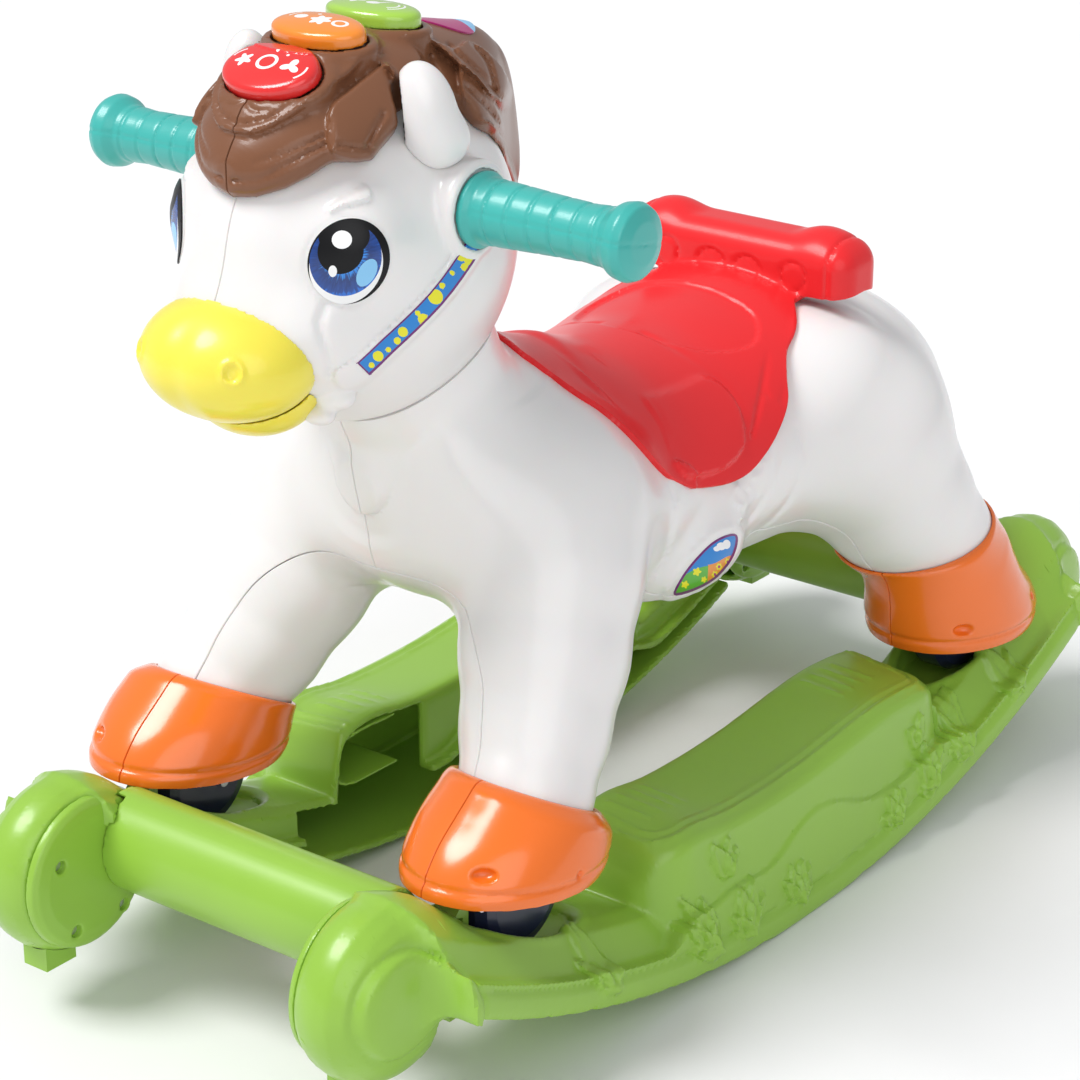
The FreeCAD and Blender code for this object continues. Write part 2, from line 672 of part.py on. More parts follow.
def main():
    os.makedirs("parts", exist_ok=True)

    # rocker base
    export_pair("rail", make_rail())
    for end, name in ((-1, "front"), (1, "rear")):
        bar = cross_bar_solid(end).cut(cross_bar_solid(end, 0.0, True))
        for side in (1, -1):
            cover = scroll_cover(side, end)
            export("scroll_cover_" + name + ("_left" if side > 0 else "_right"), cover)
            room = rod(V(side * 79.6, end * SCROLL_Y, SCROLL_Z), V(side, 0, 0), 12, SCROLL_R - 4.6)
            bar = bar.cut(room)
        export(name + "_cross_bar", largest(bar))
    export("cover_screws", make_cover_screws())
    export("stop_blocks", make_stop_blocks())
    export("hoof_clips", make_hoof_clips())

    # head
    head_left, head_right, head_room = make_head()
    export("head_shell_left", head_left)
    export("head_shell_right", head_right)
    export("muzzle", make_muzzle(head_room))
    export("lower_lip", make_lip(head_room))
    inserts = []
    for side, name in ((1, "left"), (-1, "right")):
        ear, insert = make_ear(side, head_room)
        inserts.append(insert)
        export("ear_" + name, ear)
        export("eye_" + name, make_eye(side))
        export("bridle_label_" + name, make_bridle_label(side))
    export("ear_inserts", group(inserts))
    ear_room = [limb(EAR_PATH, FIT, side) for side in (1, -1)]
    mane_left, mane_right = make_mane(head_room, ear_room)
    export("mane_left", mane_left)
    export("mane_right", mane_right)
    export("mane_plate", make_mane_plate())
    for name in BUTTONS:
        export(name, make_button(name))
    export("handlebar_rod", rod(V(-150, BAR_AT.y, BAR_AT.z), V(1, 0, 0), 300, BAR_R))
    export_pair("grip", make_grip())

    # trunk and legs
    body_left, body_right, underbody = make_body(head_room)
    export("body_shell_left", body_left)
    export("body_shell_right", body_right)
    hatch = block((-34, 38, 120), (34, 110, 172))
    door_room = block((-34 + FIT, 38 + FIT, 120), (34 - FIT, 110 - FIT, 172))
    export("underbody", largest(underbody.cut(hatch)))
    export("battery_door", underbody.common(door_room))
    export("battery_box", make_battery_box())
    export("batteries", make_batteries())
    export("saddle", make_saddle())
    export_pair("badge", make_badge())

    # hooves and wheels
    for y, name in zip(HOOF_Y, ("front", "rear")):
        outer_half, inner_half = make_hoof(y)
        wheel = make_wheel(y)
        export_pair("hoof_outer_" + name, outer_half)
        export_pair("hoof_inner_" + name, inner_half)
        export_pair("wheel_" + name, wheel)
    export("wheel_axles", make_axles())
    export("hoof_screws", make_hoof_screws())

    # sound and switches
    export("speaker", make_speaker())
    export("circuit_board", make_circuit_board())
    export("button_switches", make_switches(head_room))
    export("button_springs", make_springs())


main()
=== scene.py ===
import json
import math

import bpy
import numpy as np
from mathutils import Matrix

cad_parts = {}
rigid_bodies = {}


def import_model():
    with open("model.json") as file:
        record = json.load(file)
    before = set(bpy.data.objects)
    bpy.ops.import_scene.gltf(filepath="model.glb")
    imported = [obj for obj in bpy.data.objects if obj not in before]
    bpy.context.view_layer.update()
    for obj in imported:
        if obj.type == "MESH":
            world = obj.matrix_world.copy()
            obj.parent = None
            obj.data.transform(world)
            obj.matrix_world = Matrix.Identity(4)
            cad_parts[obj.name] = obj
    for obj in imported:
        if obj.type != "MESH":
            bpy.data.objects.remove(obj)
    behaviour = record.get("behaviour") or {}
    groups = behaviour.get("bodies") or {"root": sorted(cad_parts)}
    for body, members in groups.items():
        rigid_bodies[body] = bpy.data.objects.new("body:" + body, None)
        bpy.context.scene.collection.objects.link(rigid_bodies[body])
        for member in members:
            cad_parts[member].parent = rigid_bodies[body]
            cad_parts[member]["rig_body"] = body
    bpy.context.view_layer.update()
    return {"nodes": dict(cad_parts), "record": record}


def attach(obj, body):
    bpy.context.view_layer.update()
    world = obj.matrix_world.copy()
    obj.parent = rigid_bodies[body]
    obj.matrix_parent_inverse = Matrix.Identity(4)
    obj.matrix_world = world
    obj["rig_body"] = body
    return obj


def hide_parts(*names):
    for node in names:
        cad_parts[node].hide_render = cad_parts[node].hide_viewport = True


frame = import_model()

import openvdb
from mathutils import Vector

# A moulded plastic rocking horse. Shapes are written in millimetres in the CAD's frame:
# the pony faces -Y, its left is +X, +Z is up. Each shell is a distance field that is
# meshed, cut along its seams and given a wall.

MM = 0.001
FINE = 1.0        # grid coarseness while trying things
WALL = 2.4                                   # wall of a moulded shell
SEAM = 0.22                                  # half the gap at a seam
SHARP = 35.0                                 # edges steeper than this many degrees stay sharp
NODE_BODY = {n: o["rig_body"] for n, o in frame["nodes"].items()}
NODE_SLOT = {s["node"]: s["material_slot"] for s in frame["record"]["subparts"]}


# ---------------------------------------------------------------- distance fields
class Field:
    """A distance field in millimetres on a regular grid, worked on in boxes."""

    def __init__(self, low, high, step):
        self.step = step * FINE
        self.low = np.array(low, np.float32)
        count = np.ceil((np.array(high) - self.low) / self.step).astype(int) + 1
        self.axes = [self.low[i] + self.step * np.arange(count[i], dtype=np.float32) for i in range(3)]
        self.d = np.full(count, 50.0, np.float32)

    def near(self, low=None, high=None):
        """Index box and coordinates of the grid between two corners."""
        if low is None:
            cut = (slice(None),) * 3
        else:
            cut = tuple(slice(*np.searchsorted(self.axes[i], (low[i], high[i]))) for i in range(3))
        x, y, z = (self.axes[i][cut[i]] for i in range(3))
        return cut, (x[:, None, None], y[None, :, None], z[None, None, :])

    def points(self):
        """Every grid point, one per row."""
        return np.stack(np.meshgrid(*self.axes, indexing="ij"), -1).reshape(-1, 3)

    def add(self, shape, blend=0.0, low=None, high=None):
        """Joins a shape on, with a fillet of about the blend."""
        cut, p = self.near(low, high)
        self.d[cut] = smin(self.d[cut], shape(p), blend)

    def cut(self, shape, blend=0.0, low=None, high=None):
        """Takes a shape away."""
        cut, p = self.near(low, high)
        self.d[cut] = -smin(-self.d[cut], shape(p), blend)

    def keep(self, shape, blend=0.0):
        """Keeps what is inside a shape."""
        cut, p = self.near()
        self.d[cut] = -smin(-self.d[cut], -shape(p), blend)

    def raise_by(self, height, low=None, high=None):
        """Moves the surface outwards by a height that varies in space."""
        cut, p = self.near(low, high)
        self.d[cut] = self.d[cut] - height(p)

    def mesh(self, adaptivity=0.0):
        """Vertices, triangles and outward normals of the surface."""
        grid = openvdb.FloatGrid()
        grid.copyFromArray(self.d)
        points, tris, quads = grid.convertToPolygons(0.0, adaptivity)
        tris = np.concatenate([tris, quads[:, [0, 1, 2]], quads[:, [0, 2, 3]]]).astype(np.int64)
        verts = points.astype(np.float64) * self.step + self.low
        normals = self.gradient(verts)
        face = np.cross(verts[tris[:, 1]] - verts[tris[:, 0]], verts[tris[:, 2]] - verts[tris[:, 0]])
        if (face * normals[tris[:, 0]]).sum() < 0:
            tris = tris[:, ::-1]
        return verts, tris, normals

    def gradient(self, verts):
        """Unit gradient of the field at points, by trilinear differences."""
        out = np.empty_like(verts)
        for i in range(3):
            shift = np.zeros(3)
            shift[i] = 0.8 * self.step
            out[:, i] = self.sample(verts + shift) - self.sample(verts - shift)
        return out / np.maximum(np.linalg.norm(out, axis=1, keepdims=True), 1e-9)

    def sample(self, verts):
        """The field at points, trilinear between grid points."""
        q = (verts - self.low) / self.step
        top = np.array(self.d.shape) - 1.001
        q = np.clip(q, 0, top)
        i = q.astype(int)
        f = q - i
        out = 0.0
        for corner in range(8):
            bit = [(corner >> k) & 1 for k in range(3)]
            w = np.prod([f[:, k] if bit[k] else 1 - f[:, k] for k in range(3)], axis=0)
            out = out + w * self.d[i[:, 0] + bit[0], i[:, 1] + bit[1], i[:, 2] + bit[2]]
        return out


def smin(a, b, k):
    """Smaller of two distances, rounded where they differ by less than k."""
    if k <= 0:
        return np.minimum(a, b)
    h = np.maximum(k - np.abs(a - b), 0) / k
    return np.minimum(a, b) - h * h * k * 0.25


def smooth(low, high, value):
    """Soft step from 0 at low to 1 at high."""
    t = np.clip((value - low) / (high - low), 0, 1)
    return t * t * (3 - 2 * t)


def turned(p, centre, turn):
    """Coordinates about a centre, in axes turned by angles in degrees about X, Y, then Z."""
    x, y, z = (p[i] - centre[i] for i in range(3))
    ax, ay, az = (math.radians(a) for a in turn)
    if az:
        x, y = x * math.cos(az) + y * math.sin(az), -x * math.sin(az) + y * math.cos(az)
    if ay:
        x, z = x * math.cos(ay) - z * math.sin(ay), x * math.sin(ay) + z * math.cos(ay)
    if ax:
        y, z = y * math.cos(ax) + z * math.sin(ax), -y * math.sin(ax) + z * math.cos(ax)
    return x, y, z


def egg(centre, half, turn=(0, 0, 0)):
    """Ellipsoid."""
    def shape(p):
        x, y, z = turned(p, centre, turn)
        k0 = np.sqrt((x / half[0]) ** 2 + (y / half[1]) ** 2 + (z / half[2]) ** 2)
        k1 = np.sqrt((x / half[0] ** 2) ** 2 + (y / half[1] ** 2) ** 2 + (z / half[2] ** 2) ** 2)
        return k0 * (k0 - 1) / np.maximum(k1, 1e-6)
    return shape


def cone(a, b, ra, rb):
    """Round-ended limb between two points."""
    a, b = np.array(a, float), np.array(b, float)
    along = b - a
    length2 = float(along @ along)

    def shape(p):
        d = [p[i] - a[i] for i in range(3)]
        h = np.clip((d[0] * along[0] + d[1] * along[1] + d[2] * along[2]) / length2, 0, 1)
        gap = np.sqrt(sum((d[i] - h * along[i]) ** 2 for i in range(3)))
        return gap - (ra + h * (rb - ra))
    return shape


def brick(centre, half, radius):
    """Box with rounded edges."""
    def shape(p):
        q = [np.abs(p[i] - centre[i]) - half[i] + radius for i in range(3)]
        outside = np.sqrt(sum(np.maximum(c, 0) ** 2 for c in q))
        return outside + np.minimum(np.maximum(np.maximum(q[0], q[1]), q[2]), 0) - radius
    return shape


def drum(centre, radius, half, edge=0.0):
    """Cylinder along X, with rounded edges."""
    def shape(p):
        x, y, z = (p[i] - centre[i] for i in range(3))
        along = np.abs(x) - half + edge
        across = np.sqrt(y ** 2 + z ** 2) - radius + edge
        outside = np.sqrt(np.maximum(along, 0) ** 2 + np.maximum(across, 0) ** 2)
        return outside + np.minimum(np.maximum(along, across), 0) - edge
    return shape


def path_gap(points, closed=False):
    """Distance to a chain of straight runs through 3D points."""
    points = np.array(points, float)
    ends = np.roll(points, -1, 0) if closed else points[1:]

    def shape(p):
        best = None
        for a, b in zip(points, ends):
            gap = cone(a, b, 0.0, 0.0)(p)
            best = gap if best is None else np.minimum(best, gap)
        return best
    return shape


def spline(points, count, closed=False):
    """Points along a Catmull-Rom curve."""
    points = np.array(points, float)
    n = len(points)
    out = []
    spans = n if closed else n - 1
    for i in range(spans):
        if closed:
            p0, p1, p2, p3 = (points[(i + k) % n] for k in (-1, 0, 1, 2))
        else:
            p1, p2 = points[i], points[i + 1]
            p0 = points[i - 1] if i else 2 * p1 - p2
            p3 = points[i + 2] if i + 2 < n else 2 * p2 - p1
        for t in np.arange(count) / count:
            out.append(0.5 * (2 * p1 + (p2 - p0) * t + (2 * p0 - 5 * p1 + 4 * p2 - p3) * t ** 2
                              + (3 * p1 - p0 - 3 * p2 + p3) * t ** 3))
    if not closed:
        out.append(points[-1])
    return np.array(out)


# ---------------------------------------------------------------- mesh work
def insert_line(verts, tris, values):
    """Adds vertices where values change sign, so that the line runs along edges. Also gives which
    triangles were split, and the two ends and the place between them of each new vertex."""
    values = np.where(np.abs(values) < 1e-7, 1e-7, values)
    sign = values > 0
    edges = np.sort(np.concatenate([tris[:, [0, 1]], tris[:, [1, 2]], tris[:, [2, 0]]]), axis=1)
    keys = edges[:, 0] * len(verts) + edges[:, 1]
    crossing = sign[edges[:, 0]] != sign[edges[:, 1]]
    unique = np.unique(keys[crossing])
    if not len(unique):
        return verts, tris, None, None
    a, b = unique // len(verts), unique % len(verts)
    t = (values[a] / (values[a] - values[b]))[:, None]
    new = verts[a] + (verts[b] - verts[a]) * t
    first = len(verts)

    def middle(i, j):
        low, high = np.minimum(i, j), np.maximum(i, j)
        return first + np.searchsorted(unique, low * first + high)

    mixed = sign[tris].any(1) & ~sign[tris].all(1)
    work = tris[mixed]
    s = sign[work]
    odd = np.where(s.sum(1) == 1, s.argmax(1), (~s).argmax(1))
    rows = np.arange(len(work))
    i, j, k = (work[rows, (odd + step) % 3] for step in range(3))
    ij, ik = middle(i, j), middle(i, k)
    pieces = [np.stack(c, 1) for c in ((i, ij, ik), (ij, j, k), (ij, k, ik))]
    tris = np.concatenate([tris[~mixed]] + pieces)
    return np.concatenate([verts, new]), tris, mixed, (a, b, t)


class Skin:
    """A triangle surface with a normal per vertex and a material number per triangle."""

    def __init__(self, verts, tris, normals):
        self.v, self.t, self.n = verts, tris, normals
        self.m = np.zeros(0 if tris is None else len(tris), int)

    def line(self, value):
        """Makes an edge line where value(points) is 0."""
        verts, tris, split, made = insert_line(self.v, self.t, value(self.v))
        if made is None:
            return
        a, b, t = made
        extra = self.n[a] + (self.n[b] - self.n[a]) * t
        self.n = np.concatenate([self.n, extra / np.linalg.norm(extra, axis=1, keepdims=True)])
        self.m = np.concatenate([self.m[~split]] + [self.m[split]] * 3)
        self.v, self.t = verts, tris

    def part(self, value, gap=SEAM, groove=0.5):
        """The side where value is negative, stopping short of 0, with its edge rounded down."""
        if groove:
            self.line(lambda v: value(v) + gap + 0.7 * groove)
        self.line(lambda v: value(v) + gap)
        kept = value(self.v[self.t].mean(1)) < -gap
        out = self.only(kept)
        if groove:
            drop = groove * smooth(-gap - 0.7 * groove, -gap, value(out.v)) ** 2
            out.v = out.v - out.n * drop[:, None]
        return out

    def only(self, kept):
        """The kept triangles as a skin of their own."""
        used, tris = np.unique(self.t[kept], return_inverse=True)
        out = Skin(self.v[used], tris.reshape(-1, 3), self.n[used])
        out.m = self.m[kept]
        return out

    def paint(self, value, number):
        """Gives the material number to the side where value is negative."""
        self.line(value)
        self.m[value(self.v[self.t].mean(1)) < 0] = number
        return self

    def thick(self, wall):
        """Closed shell: the skin, a copy of it one wall inside, and a rim along open edges."""
        n = len(self.v)
        edges = np.concatenate([self.t[:, [0, 1]], self.t[:, [1, 2]], self.t[:, [2, 0]]])
        keys = edges.min(1) * n + edges.max(1)
        _, inverse, counts = np.unique(keys, return_inverse=True, return_counts=True)
        rim = edges[counts[inverse] == 1]
        sides = np.concatenate([np.stack([rim[:, 1], rim[:, 0], rim[:, 0] + n], 1),
                                np.stack([rim[:, 1], rim[:, 0] + n, rim[:, 1] + n], 1)])
        out = Skin(np.concatenate([self.v, self.v - self.n * wall]),
                   np.concatenate([self.t, self.t[:, ::-1] + n, sides]),
                   np.concatenate([self.n, -self.n]))
        out.m = np.concatenate([self.m, self.m, np.zeros(len(sides), int)])
        return out

    def mirrored(self):
        """Mirror image across X = 0."""
        flip = np.array([-1.0, 1.0, 1.0])
        out = Skin(self.v * flip, self.t[:, ::-1], self.n * flip)
        out.m = self.m
        return out


def show(name, skin, materials, nodes):
    """Makes a Blender piece of a skin in millimetres that stands for CAD nodes."""
    mesh = bpy.data.meshes.new(name)
    mesh.vertices.add(len(skin.v))
    mesh.vertices.foreach_set("co", (skin.v * MM).astype(np.float32).ravel())
    count = len(skin.t)
    mesh.loops.add(3 * count)
    mesh.loops.foreach_set("vertex_index", skin.t.astype(np.int32).ravel())
    mesh.polygons.add(count)
    mesh.polygons.foreach_set("loop_start", np.arange(0, 3 * count, 3, dtype=np.int32))
    mesh.polygons.foreach_set("material_index", skin.m.astype(np.int32))
    mesh.update(calc_edges=True)
    mesh.validate()
    for material in materials:
        mesh.materials.append(material)
    piece = bpy.data.objects.new(name, mesh)
    bpy.context.scene.collection.objects.link(piece)
    mesh.set_sharp_from_angle(angle=math.radians(SHARP))
    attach(piece, NODE_BODY[nodes[0]])
    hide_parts(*nodes)


def show_pair(name, skin, materials, node):
    """Shows a left piece and its mirror image."""
    for side, half in (("_left", skin), ("_right", skin.mirrored())):
        show(name + side, half, materials, [node + side])


def solid(field, adaptivity=0.0):
    return Skin(*field.mesh(adaptivity))


def raised(skin, height):
    """The skin moved out along its normals."""
    skin.v = skin.v + skin.n * height
    return skin


def joined(*skins):
    """Several skins as one."""
    out = Skin(np.concatenate([s.v for s in skins]), None, np.concatenate([s.n for s in skins]))
    starts = np.cumsum([0] + [len(s.v) for s in skins])
    out.t = np.concatenate([s.t + start for s, start in zip(skins, starts)])
    out.m = np.concatenate([s.m for s in skins])
    return out


def columns(v):
    """Points in rows as separate X, Y and Z."""
    return v[:, 0], v[:, 1], v[:, 2]


def poly2(points):
    """Distance to a polygon in a plane, negative inside."""
    points = np.array(points, float)

    def shape(u, w):
        best = None
        inside = None
        for (ax, ay), (bx, by) in zip(points, np.roll(points, -1, 0)):
            ex, ey = bx - ax, by - ay
            px, py = u - ax, w - ay
            t = np.clip((px * ex + py * ey) / (ex * ex + ey * ey), 0, 1)
            gap = (px - ex * t) ** 2 + (py - ey * t) ** 2
            cross = ((ay > w) != (by > w)) & (px * ey * np.sign(ey) < py * ex * np.sign(ey))
            best = gap if best is None else np.minimum(best, gap)
            inside = cross if inside is None else inside ^ cross
        return np.sqrt(best) * np.where(inside, -1.0, 1.0)
    return shape


def lathe_x(profile, y, z, edge=0.0):
    """Solid turned about an axis along X; the profile holds x and radius."""
    flat = poly2(profile)
    return lambda p: flat(p[0], np.sqrt((p[1] - y) ** 2 + (p[2] - z) ** 2)) - edge


def loft(rows, along=1):
    """Oval sections along Y or Z: place, centre of the other axis, half-width, half-height,
    and the roundness of the upper half (2 is an ellipse, less is more like a roof)."""
    dense = spline([tuple(row) + (2.0,) * (5 - len(row)) for row in rows], 8)
    other = 3 - along

    def shape(p):
        mid, a, b, n = (np.interp(p[along], dense[:, 0], dense[:, k]) for k in (1, 2, 3, 4))
        w = p[other] - mid
        n = np.where(w > 0, n, 2.0)
        u, w = np.abs(p[0]) / a + 1e-4, np.abs(w) / b + 1e-4
        un, wn = u ** (n - 1), w ** (n - 1)
        k = (un * u + wn * w) ** (1 / n)
        slope = np.sqrt((un / a) ** 2 + (wn / b) ** 2) * k ** (1 - n)
        ends = np.maximum(dense[0, 0] - p[along], p[along] - dense[-1, 0])
        return np.maximum((k - 1) / slope, ends)
    return shape


def both(shape):
    """The shape and its mirror image across X = 0."""
    return lambda p: shape((np.abs(p[0]), p[1], p[2]))


# ---------------------------------------------------------------- finishes
def noise(tree, vector, scale, detail):
    """Factor of a noise texture."""
    made = tree.nodes.new("ShaderNodeTexNoise")
    made.inputs["Scale"].default_value = scale
    made.inputs["Detail"].default_value = detail
    tree.links.new(vector, made.inputs["Vector"])
    return made.outputs["Fac"]


def plastic(name, colour, rough=0.3, coat=0.25, grain=0.02, soft=0.0):
    """Moulded plastic: faint flow shading in the colour, fine grain, uneven gloss."""
    material = bpy.data.materials.new(name)
    material.use_nodes = True
    tree = material.node_tree
    node, link = tree.nodes.new, tree.links.new
    shader = tree.nodes["Principled BSDF"]
    place = node("ShaderNodeTexCoord").outputs["Object"]
    cloud = noise(tree, place, 14.0, 3.0)
    tone = node("ShaderNodeValToRGB")
    low, high = tone.color_ramp.elements
    low.position, high.position = 0.3, 0.7
    low.color = (*[c * (1 - grain * 2) for c in colour], 1)
    high.color = (*[min(c * (1 + grain), 1.0) for c in colour], 1)
    link(cloud, tone.inputs["Fac"])
    link(tone.outputs["Color"], shader.inputs["Base Color"])
    gloss = node("ShaderNodeMapRange")
    gloss.inputs["To Min"].default_value = rough * 0.85
    gloss.inputs["To Max"].default_value = rough * 1.15
    link(cloud, gloss.inputs["Value"])
    link(gloss.outputs["Result"], shader.inputs["Roughness"])
    bump = node("ShaderNodeBump")
    bump.inputs["Strength"].default_value = 0.05
    bump.inputs["Distance"].default_value = 0.0004
    link(noise(tree, place, 420.0, 2.0), bump.inputs["Height"])
    link(bump.outputs["Normal"], shader.inputs["Normal"])
    shader.inputs["Coat Weight"].default_value = coat
    shader.inputs["Coat Roughness"].default_value = 0.12
    if soft:
        shader.inputs["Subsurface Weight"].default_value = soft
        shader.inputs["Subsurface Scale"].default_value = 0.004
    return material


# Colours of the iris from its middle outwards, by a place between 0 and 1.
IRIS_SHADES = [(0.58, (0.02, 0.24, 0.75, 1)), (0.68, (0.004, 0.03, 0.16, 1)),
               (0.9467, (0.008, 0.06, 0.3, 1)), (1.0, (0.012, 0.15, 0.62, 1))]


def iris_finish(name, at, across, up):
    """Printed iris: blue streaks that run out from the pupil."""
    material = plastic(name, (0.01, 0.12, 0.5), 0.25, 0.4)
    tree = material.node_tree
    node, link = tree.nodes.new, tree.links.new

    def maths(kind, first, second=None):
        made = node("ShaderNodeMath")
        made.operation = kind
        for slot, value in enumerate((first, second)):
            if isinstance(value, float):
                made.inputs[slot].default_value = value
            elif value is not None:
                link(value, made.inputs[slot])
        return made.outputs[0]
    place = node("ShaderNodeTexCoord").outputs["Object"]
    shifted = node("ShaderNodeVectorMath")
    shifted.operation = "SUBTRACT"
    link(place, shifted.inputs[0])
    shifted.inputs[1].default_value = [c * MM for c in at]
    along = []
    for axis in (across, up):
        dot = node("ShaderNodeVectorMath")
        dot.operation = "DOT_PRODUCT"
        link(shifted.outputs[0], dot.inputs[0])
        dot.inputs[1].default_value = axis
        along.append(dot.outputs["Value"])
    u, w = maths("ADD", along[0], 0.003), maths("SUBTRACT", along[1], 0.003)
    angle = maths("ARCTAN2", w, u)
    radius = maths("SQRT", maths("ADD", maths("MULTIPLY", u, u), maths("MULTIPLY", w, w)))
    polar = node("ShaderNodeCombineXYZ")
    link(maths("MULTIPLY", angle, 5.0), polar.inputs[0])
    link(maths("MULTIPLY", radius, 60.0), polar.inputs[1])
    streak = noise(tree, polar.outputs[0], 3.0, 2.0)
    depth = maths("ADD", maths("MULTIPLY", radius, 62.0), maths("MULTIPLY", streak, 0.75))
    tone = node("ShaderNodeValToRGB")
    shades = tone.color_ramp.elements
    shades[0].position, shades[0].color = IRIS_SHADES[0]
    shades[1].position, shades[1].color = IRIS_SHADES[-1]
    for spot, colour in IRIS_SHADES[1:-1]:
        shades.new(spot).color = colour
    link(maths("DIVIDE", depth, 1.5), tone.inputs["Fac"])
    link(tone.outputs["Color"], tree.nodes["Principled BSDF"].inputs["Base Color"])
    return material


def steel(name):
    """Bare metal."""
    material = plastic(name, (0.62, 0.62, 0.64), 0.28, 0.0)
    material.node_tree.nodes["Principled BSDF"].inputs["Metallic"].default_value = 1.0
    return material


WHITE = plastic("white_plastic", (0.80, 0.775, 0.765), 0.3, 0.3, 0.01, 0.12)
GREEN = plastic("green_plastic", (0.27, 0.49, 0.05), 0.33, 0.15)
ORANGE = plastic("orange_plastic", (0.86, 0.165, 0.012), 0.2, 0.4)
RED = plastic("red_plastic", (0.76, 0.022, 0.026), 0.3, 0.1)
BROWN = plastic("brown_plastic", (0.20, 0.082, 0.04), 0.3, 0.25)
YELLOW = plastic("yellow_plastic", (0.86, 0.74, 0.07), 0.32, 0.25, 0.02, 0.08)
TEAL = plastic("teal_plastic", (0.045, 0.42, 0.38), 0.34, 0.2)
TYRE = plastic("wheel_plastic", (0.012, 0.016, 0.045), 0.3, 0.2)
BUTTON_RED = plastic("button_red", (0.75, 0.02, 0.02), 0.2, 0.5)
BUTTON_ORANGE = plastic("button_orange", (0.88, 0.26, 0.02), 0.2, 0.5)
BUTTON_GREEN = plastic("button_green", (0.36, 0.62, 0.07), 0.2, 0.5)
PRINT_BLACK = plastic("print_black", (0.004, 0.004, 0.005), 0.35, 0.0)
PRINT_WHITE = plastic("print_white", (0.86, 0.86, 0.86), 0.3, 0.3, 0.005)
PRINT_SKY = plastic("print_sky", (0.25, 0.56, 0.86), 0.3, 0.3)
PRINT_BLUE = plastic("print_blue", (0.015, 0.22, 0.62), 0.3, 0.3)
PRINT_YELLOW = plastic("print_yellow", (0.80, 0.75, 0.02), 0.3, 0.3)
PRINT_PURPLE = plastic("print_purple", (0.16, 0.01, 0.16), 0.3, 0.3)
PRINT_LEAF = plastic("print_leaf", (0.09, 0.42, 0.03), 0.3, 0.3)
PRINT_ORANGE = plastic("print_orange", (0.78, 0.27, 0.02), 0.3, 0.3)
PRINT_MAGENTA = plastic("print_magenta", (0.42, 0.01, 0.16), 0.3, 0.3)
LOW_SHINE = 0.25
for dull in (RED, BROWN, PRINT_BLACK, PRINT_WHITE, PRINT_SKY, PRINT_BLUE, PRINT_YELLOW, PRINT_PURPLE):
    dull.node_tree.nodes["Principled BSDF"].inputs["Specular IOR Level"].default_value = LOW_SHINE
BOARD = plastic("circuit_board", (0.01, 0.12, 0.04), 0.35, 0.3)
BLACK = plastic("black_plastic", (0.012, 0.012, 0.014), 0.3, 0.2)
STEEL = steel("steel")
CELL = plastic("cell_wrap", (0.03, 0.03, 0.12), 0.3, 0.3)


# ---------------------------------------------------------------- rocker base
ROCK_R = 626.0                               # rocking arc's radius
SCROLL_Y, SCROLL_Z = 297.0, 73.0             # the rear scroll; the front one mirrors it in Y
HOOF_Y = (-202.0, 214.0)
HOOF_X = 103.0
BAR_Y, BAR_Z, BAR_END = 268.0, 80.0, 87.0    # cross bars, and the half-length of each
BAR_HALF = (23.0, 26.0)
RAIL_WALL = 4.2
RAIL_INNER = 86.0                            # inner face of the rails' closed wall
OPEN_Y, OPEN_HALF = -100.0, 52.0             # stretch where the rails are open on the inner side
LEAF_SCALE = 1.3
LEAF_RISE = 3.4
RAIL_SECTION = [(76, -30), (151, -30), (152, 5), (151, 9), (148, 12.5), (143, 15), (136, 22),
                (129, 30), (120, 33), (80, 33), (76, 29)]
FOOTREST = [(-120, 66), (-112, 80), (-90, 85), (-50, 80), (10, 80), (78, 86), (112, 86),
            (142, 81), (153, 66)]


def rise(p):
    """Height above the rocking arc."""
    return ROCK_R - np.sqrt((ROCK_R - p[2]) ** 2 + p[1] ** 2)


def footrest_rim(p):
    """Distance outside the footrest's outline, seen from above."""
    qx, qy = np.abs(p[0] - 76) - 37, np.abs(p[1] - 16) - 110
    out = np.sqrt(np.maximum(qx, 0) ** 2 + np.maximum(qy, 0) ** 2) + np.minimum(np.maximum(qx, qy), 0)
    return out - 25


def footrest(p):
    """Block with a wavy top and leaning walls."""
    x, y, z = p
    tops = spline(FOOTREST, 6)
    top = (z + 0.11 * (x - 76) - np.interp(y, tops[:, 0], tops[:, 1])) * 0.96
    wall = (footrest_rim(p) - np.maximum(80 - z, 0) * 0.12) * 0.98
    return -smin(-top, -np.maximum(wall, 76 - x), 7.0)


def mound(p):
    """Wavy slope between the rolled rim and the footrest's outer wall."""
    arc = rise(p)
    crest = 30 + 22 * np.exp(-((p[1] - 14) / 42) ** 2) + 6 * np.exp(-((p[1] + 62) / 20) ** 2)
    reach = smooth(-128, -100, p[1]) * smooth(170, 130, p[1])
    crest = 16 + (crest - 16) * reach
    face = (p[0] - 149) + (arc - 14) * 0.16
    return np.maximum(face * 0.98, arc - crest)


SCROLL = [(86, 0), (87, 40), (93, 43.5), (101, 45), (109, 44), (116, 40), (121, 35), (124.5, 28),
          (126.5, 18), (127, 0)]


def scroll_at(end, grow=0.0):
    """Round curled end of a rail."""
    return lathe_x(SCROLL, end * SCROLL_Y, SCROLL_Z, grow)


def oval(p, y, half_x, half_y):
    """Upright oval post at a wheel's place."""
    k = np.sqrt(((p[0] - HOOF_X) / half_x) ** 2 + ((p[1] - y) / half_y) ** 2)
    return (k - 1) * half_x


def cross_bar(p, end, grow=0.0):
    """Distance outside a cross bar's oval section."""
    half_y, half_z = (half + grow for half in BAR_HALF)
    k = np.sqrt(((p[1] - end * BAR_Y) / half_y) ** 2 + ((p[2] - BAR_Z) / half_z) ** 2)
    return (k - 1) * half_y


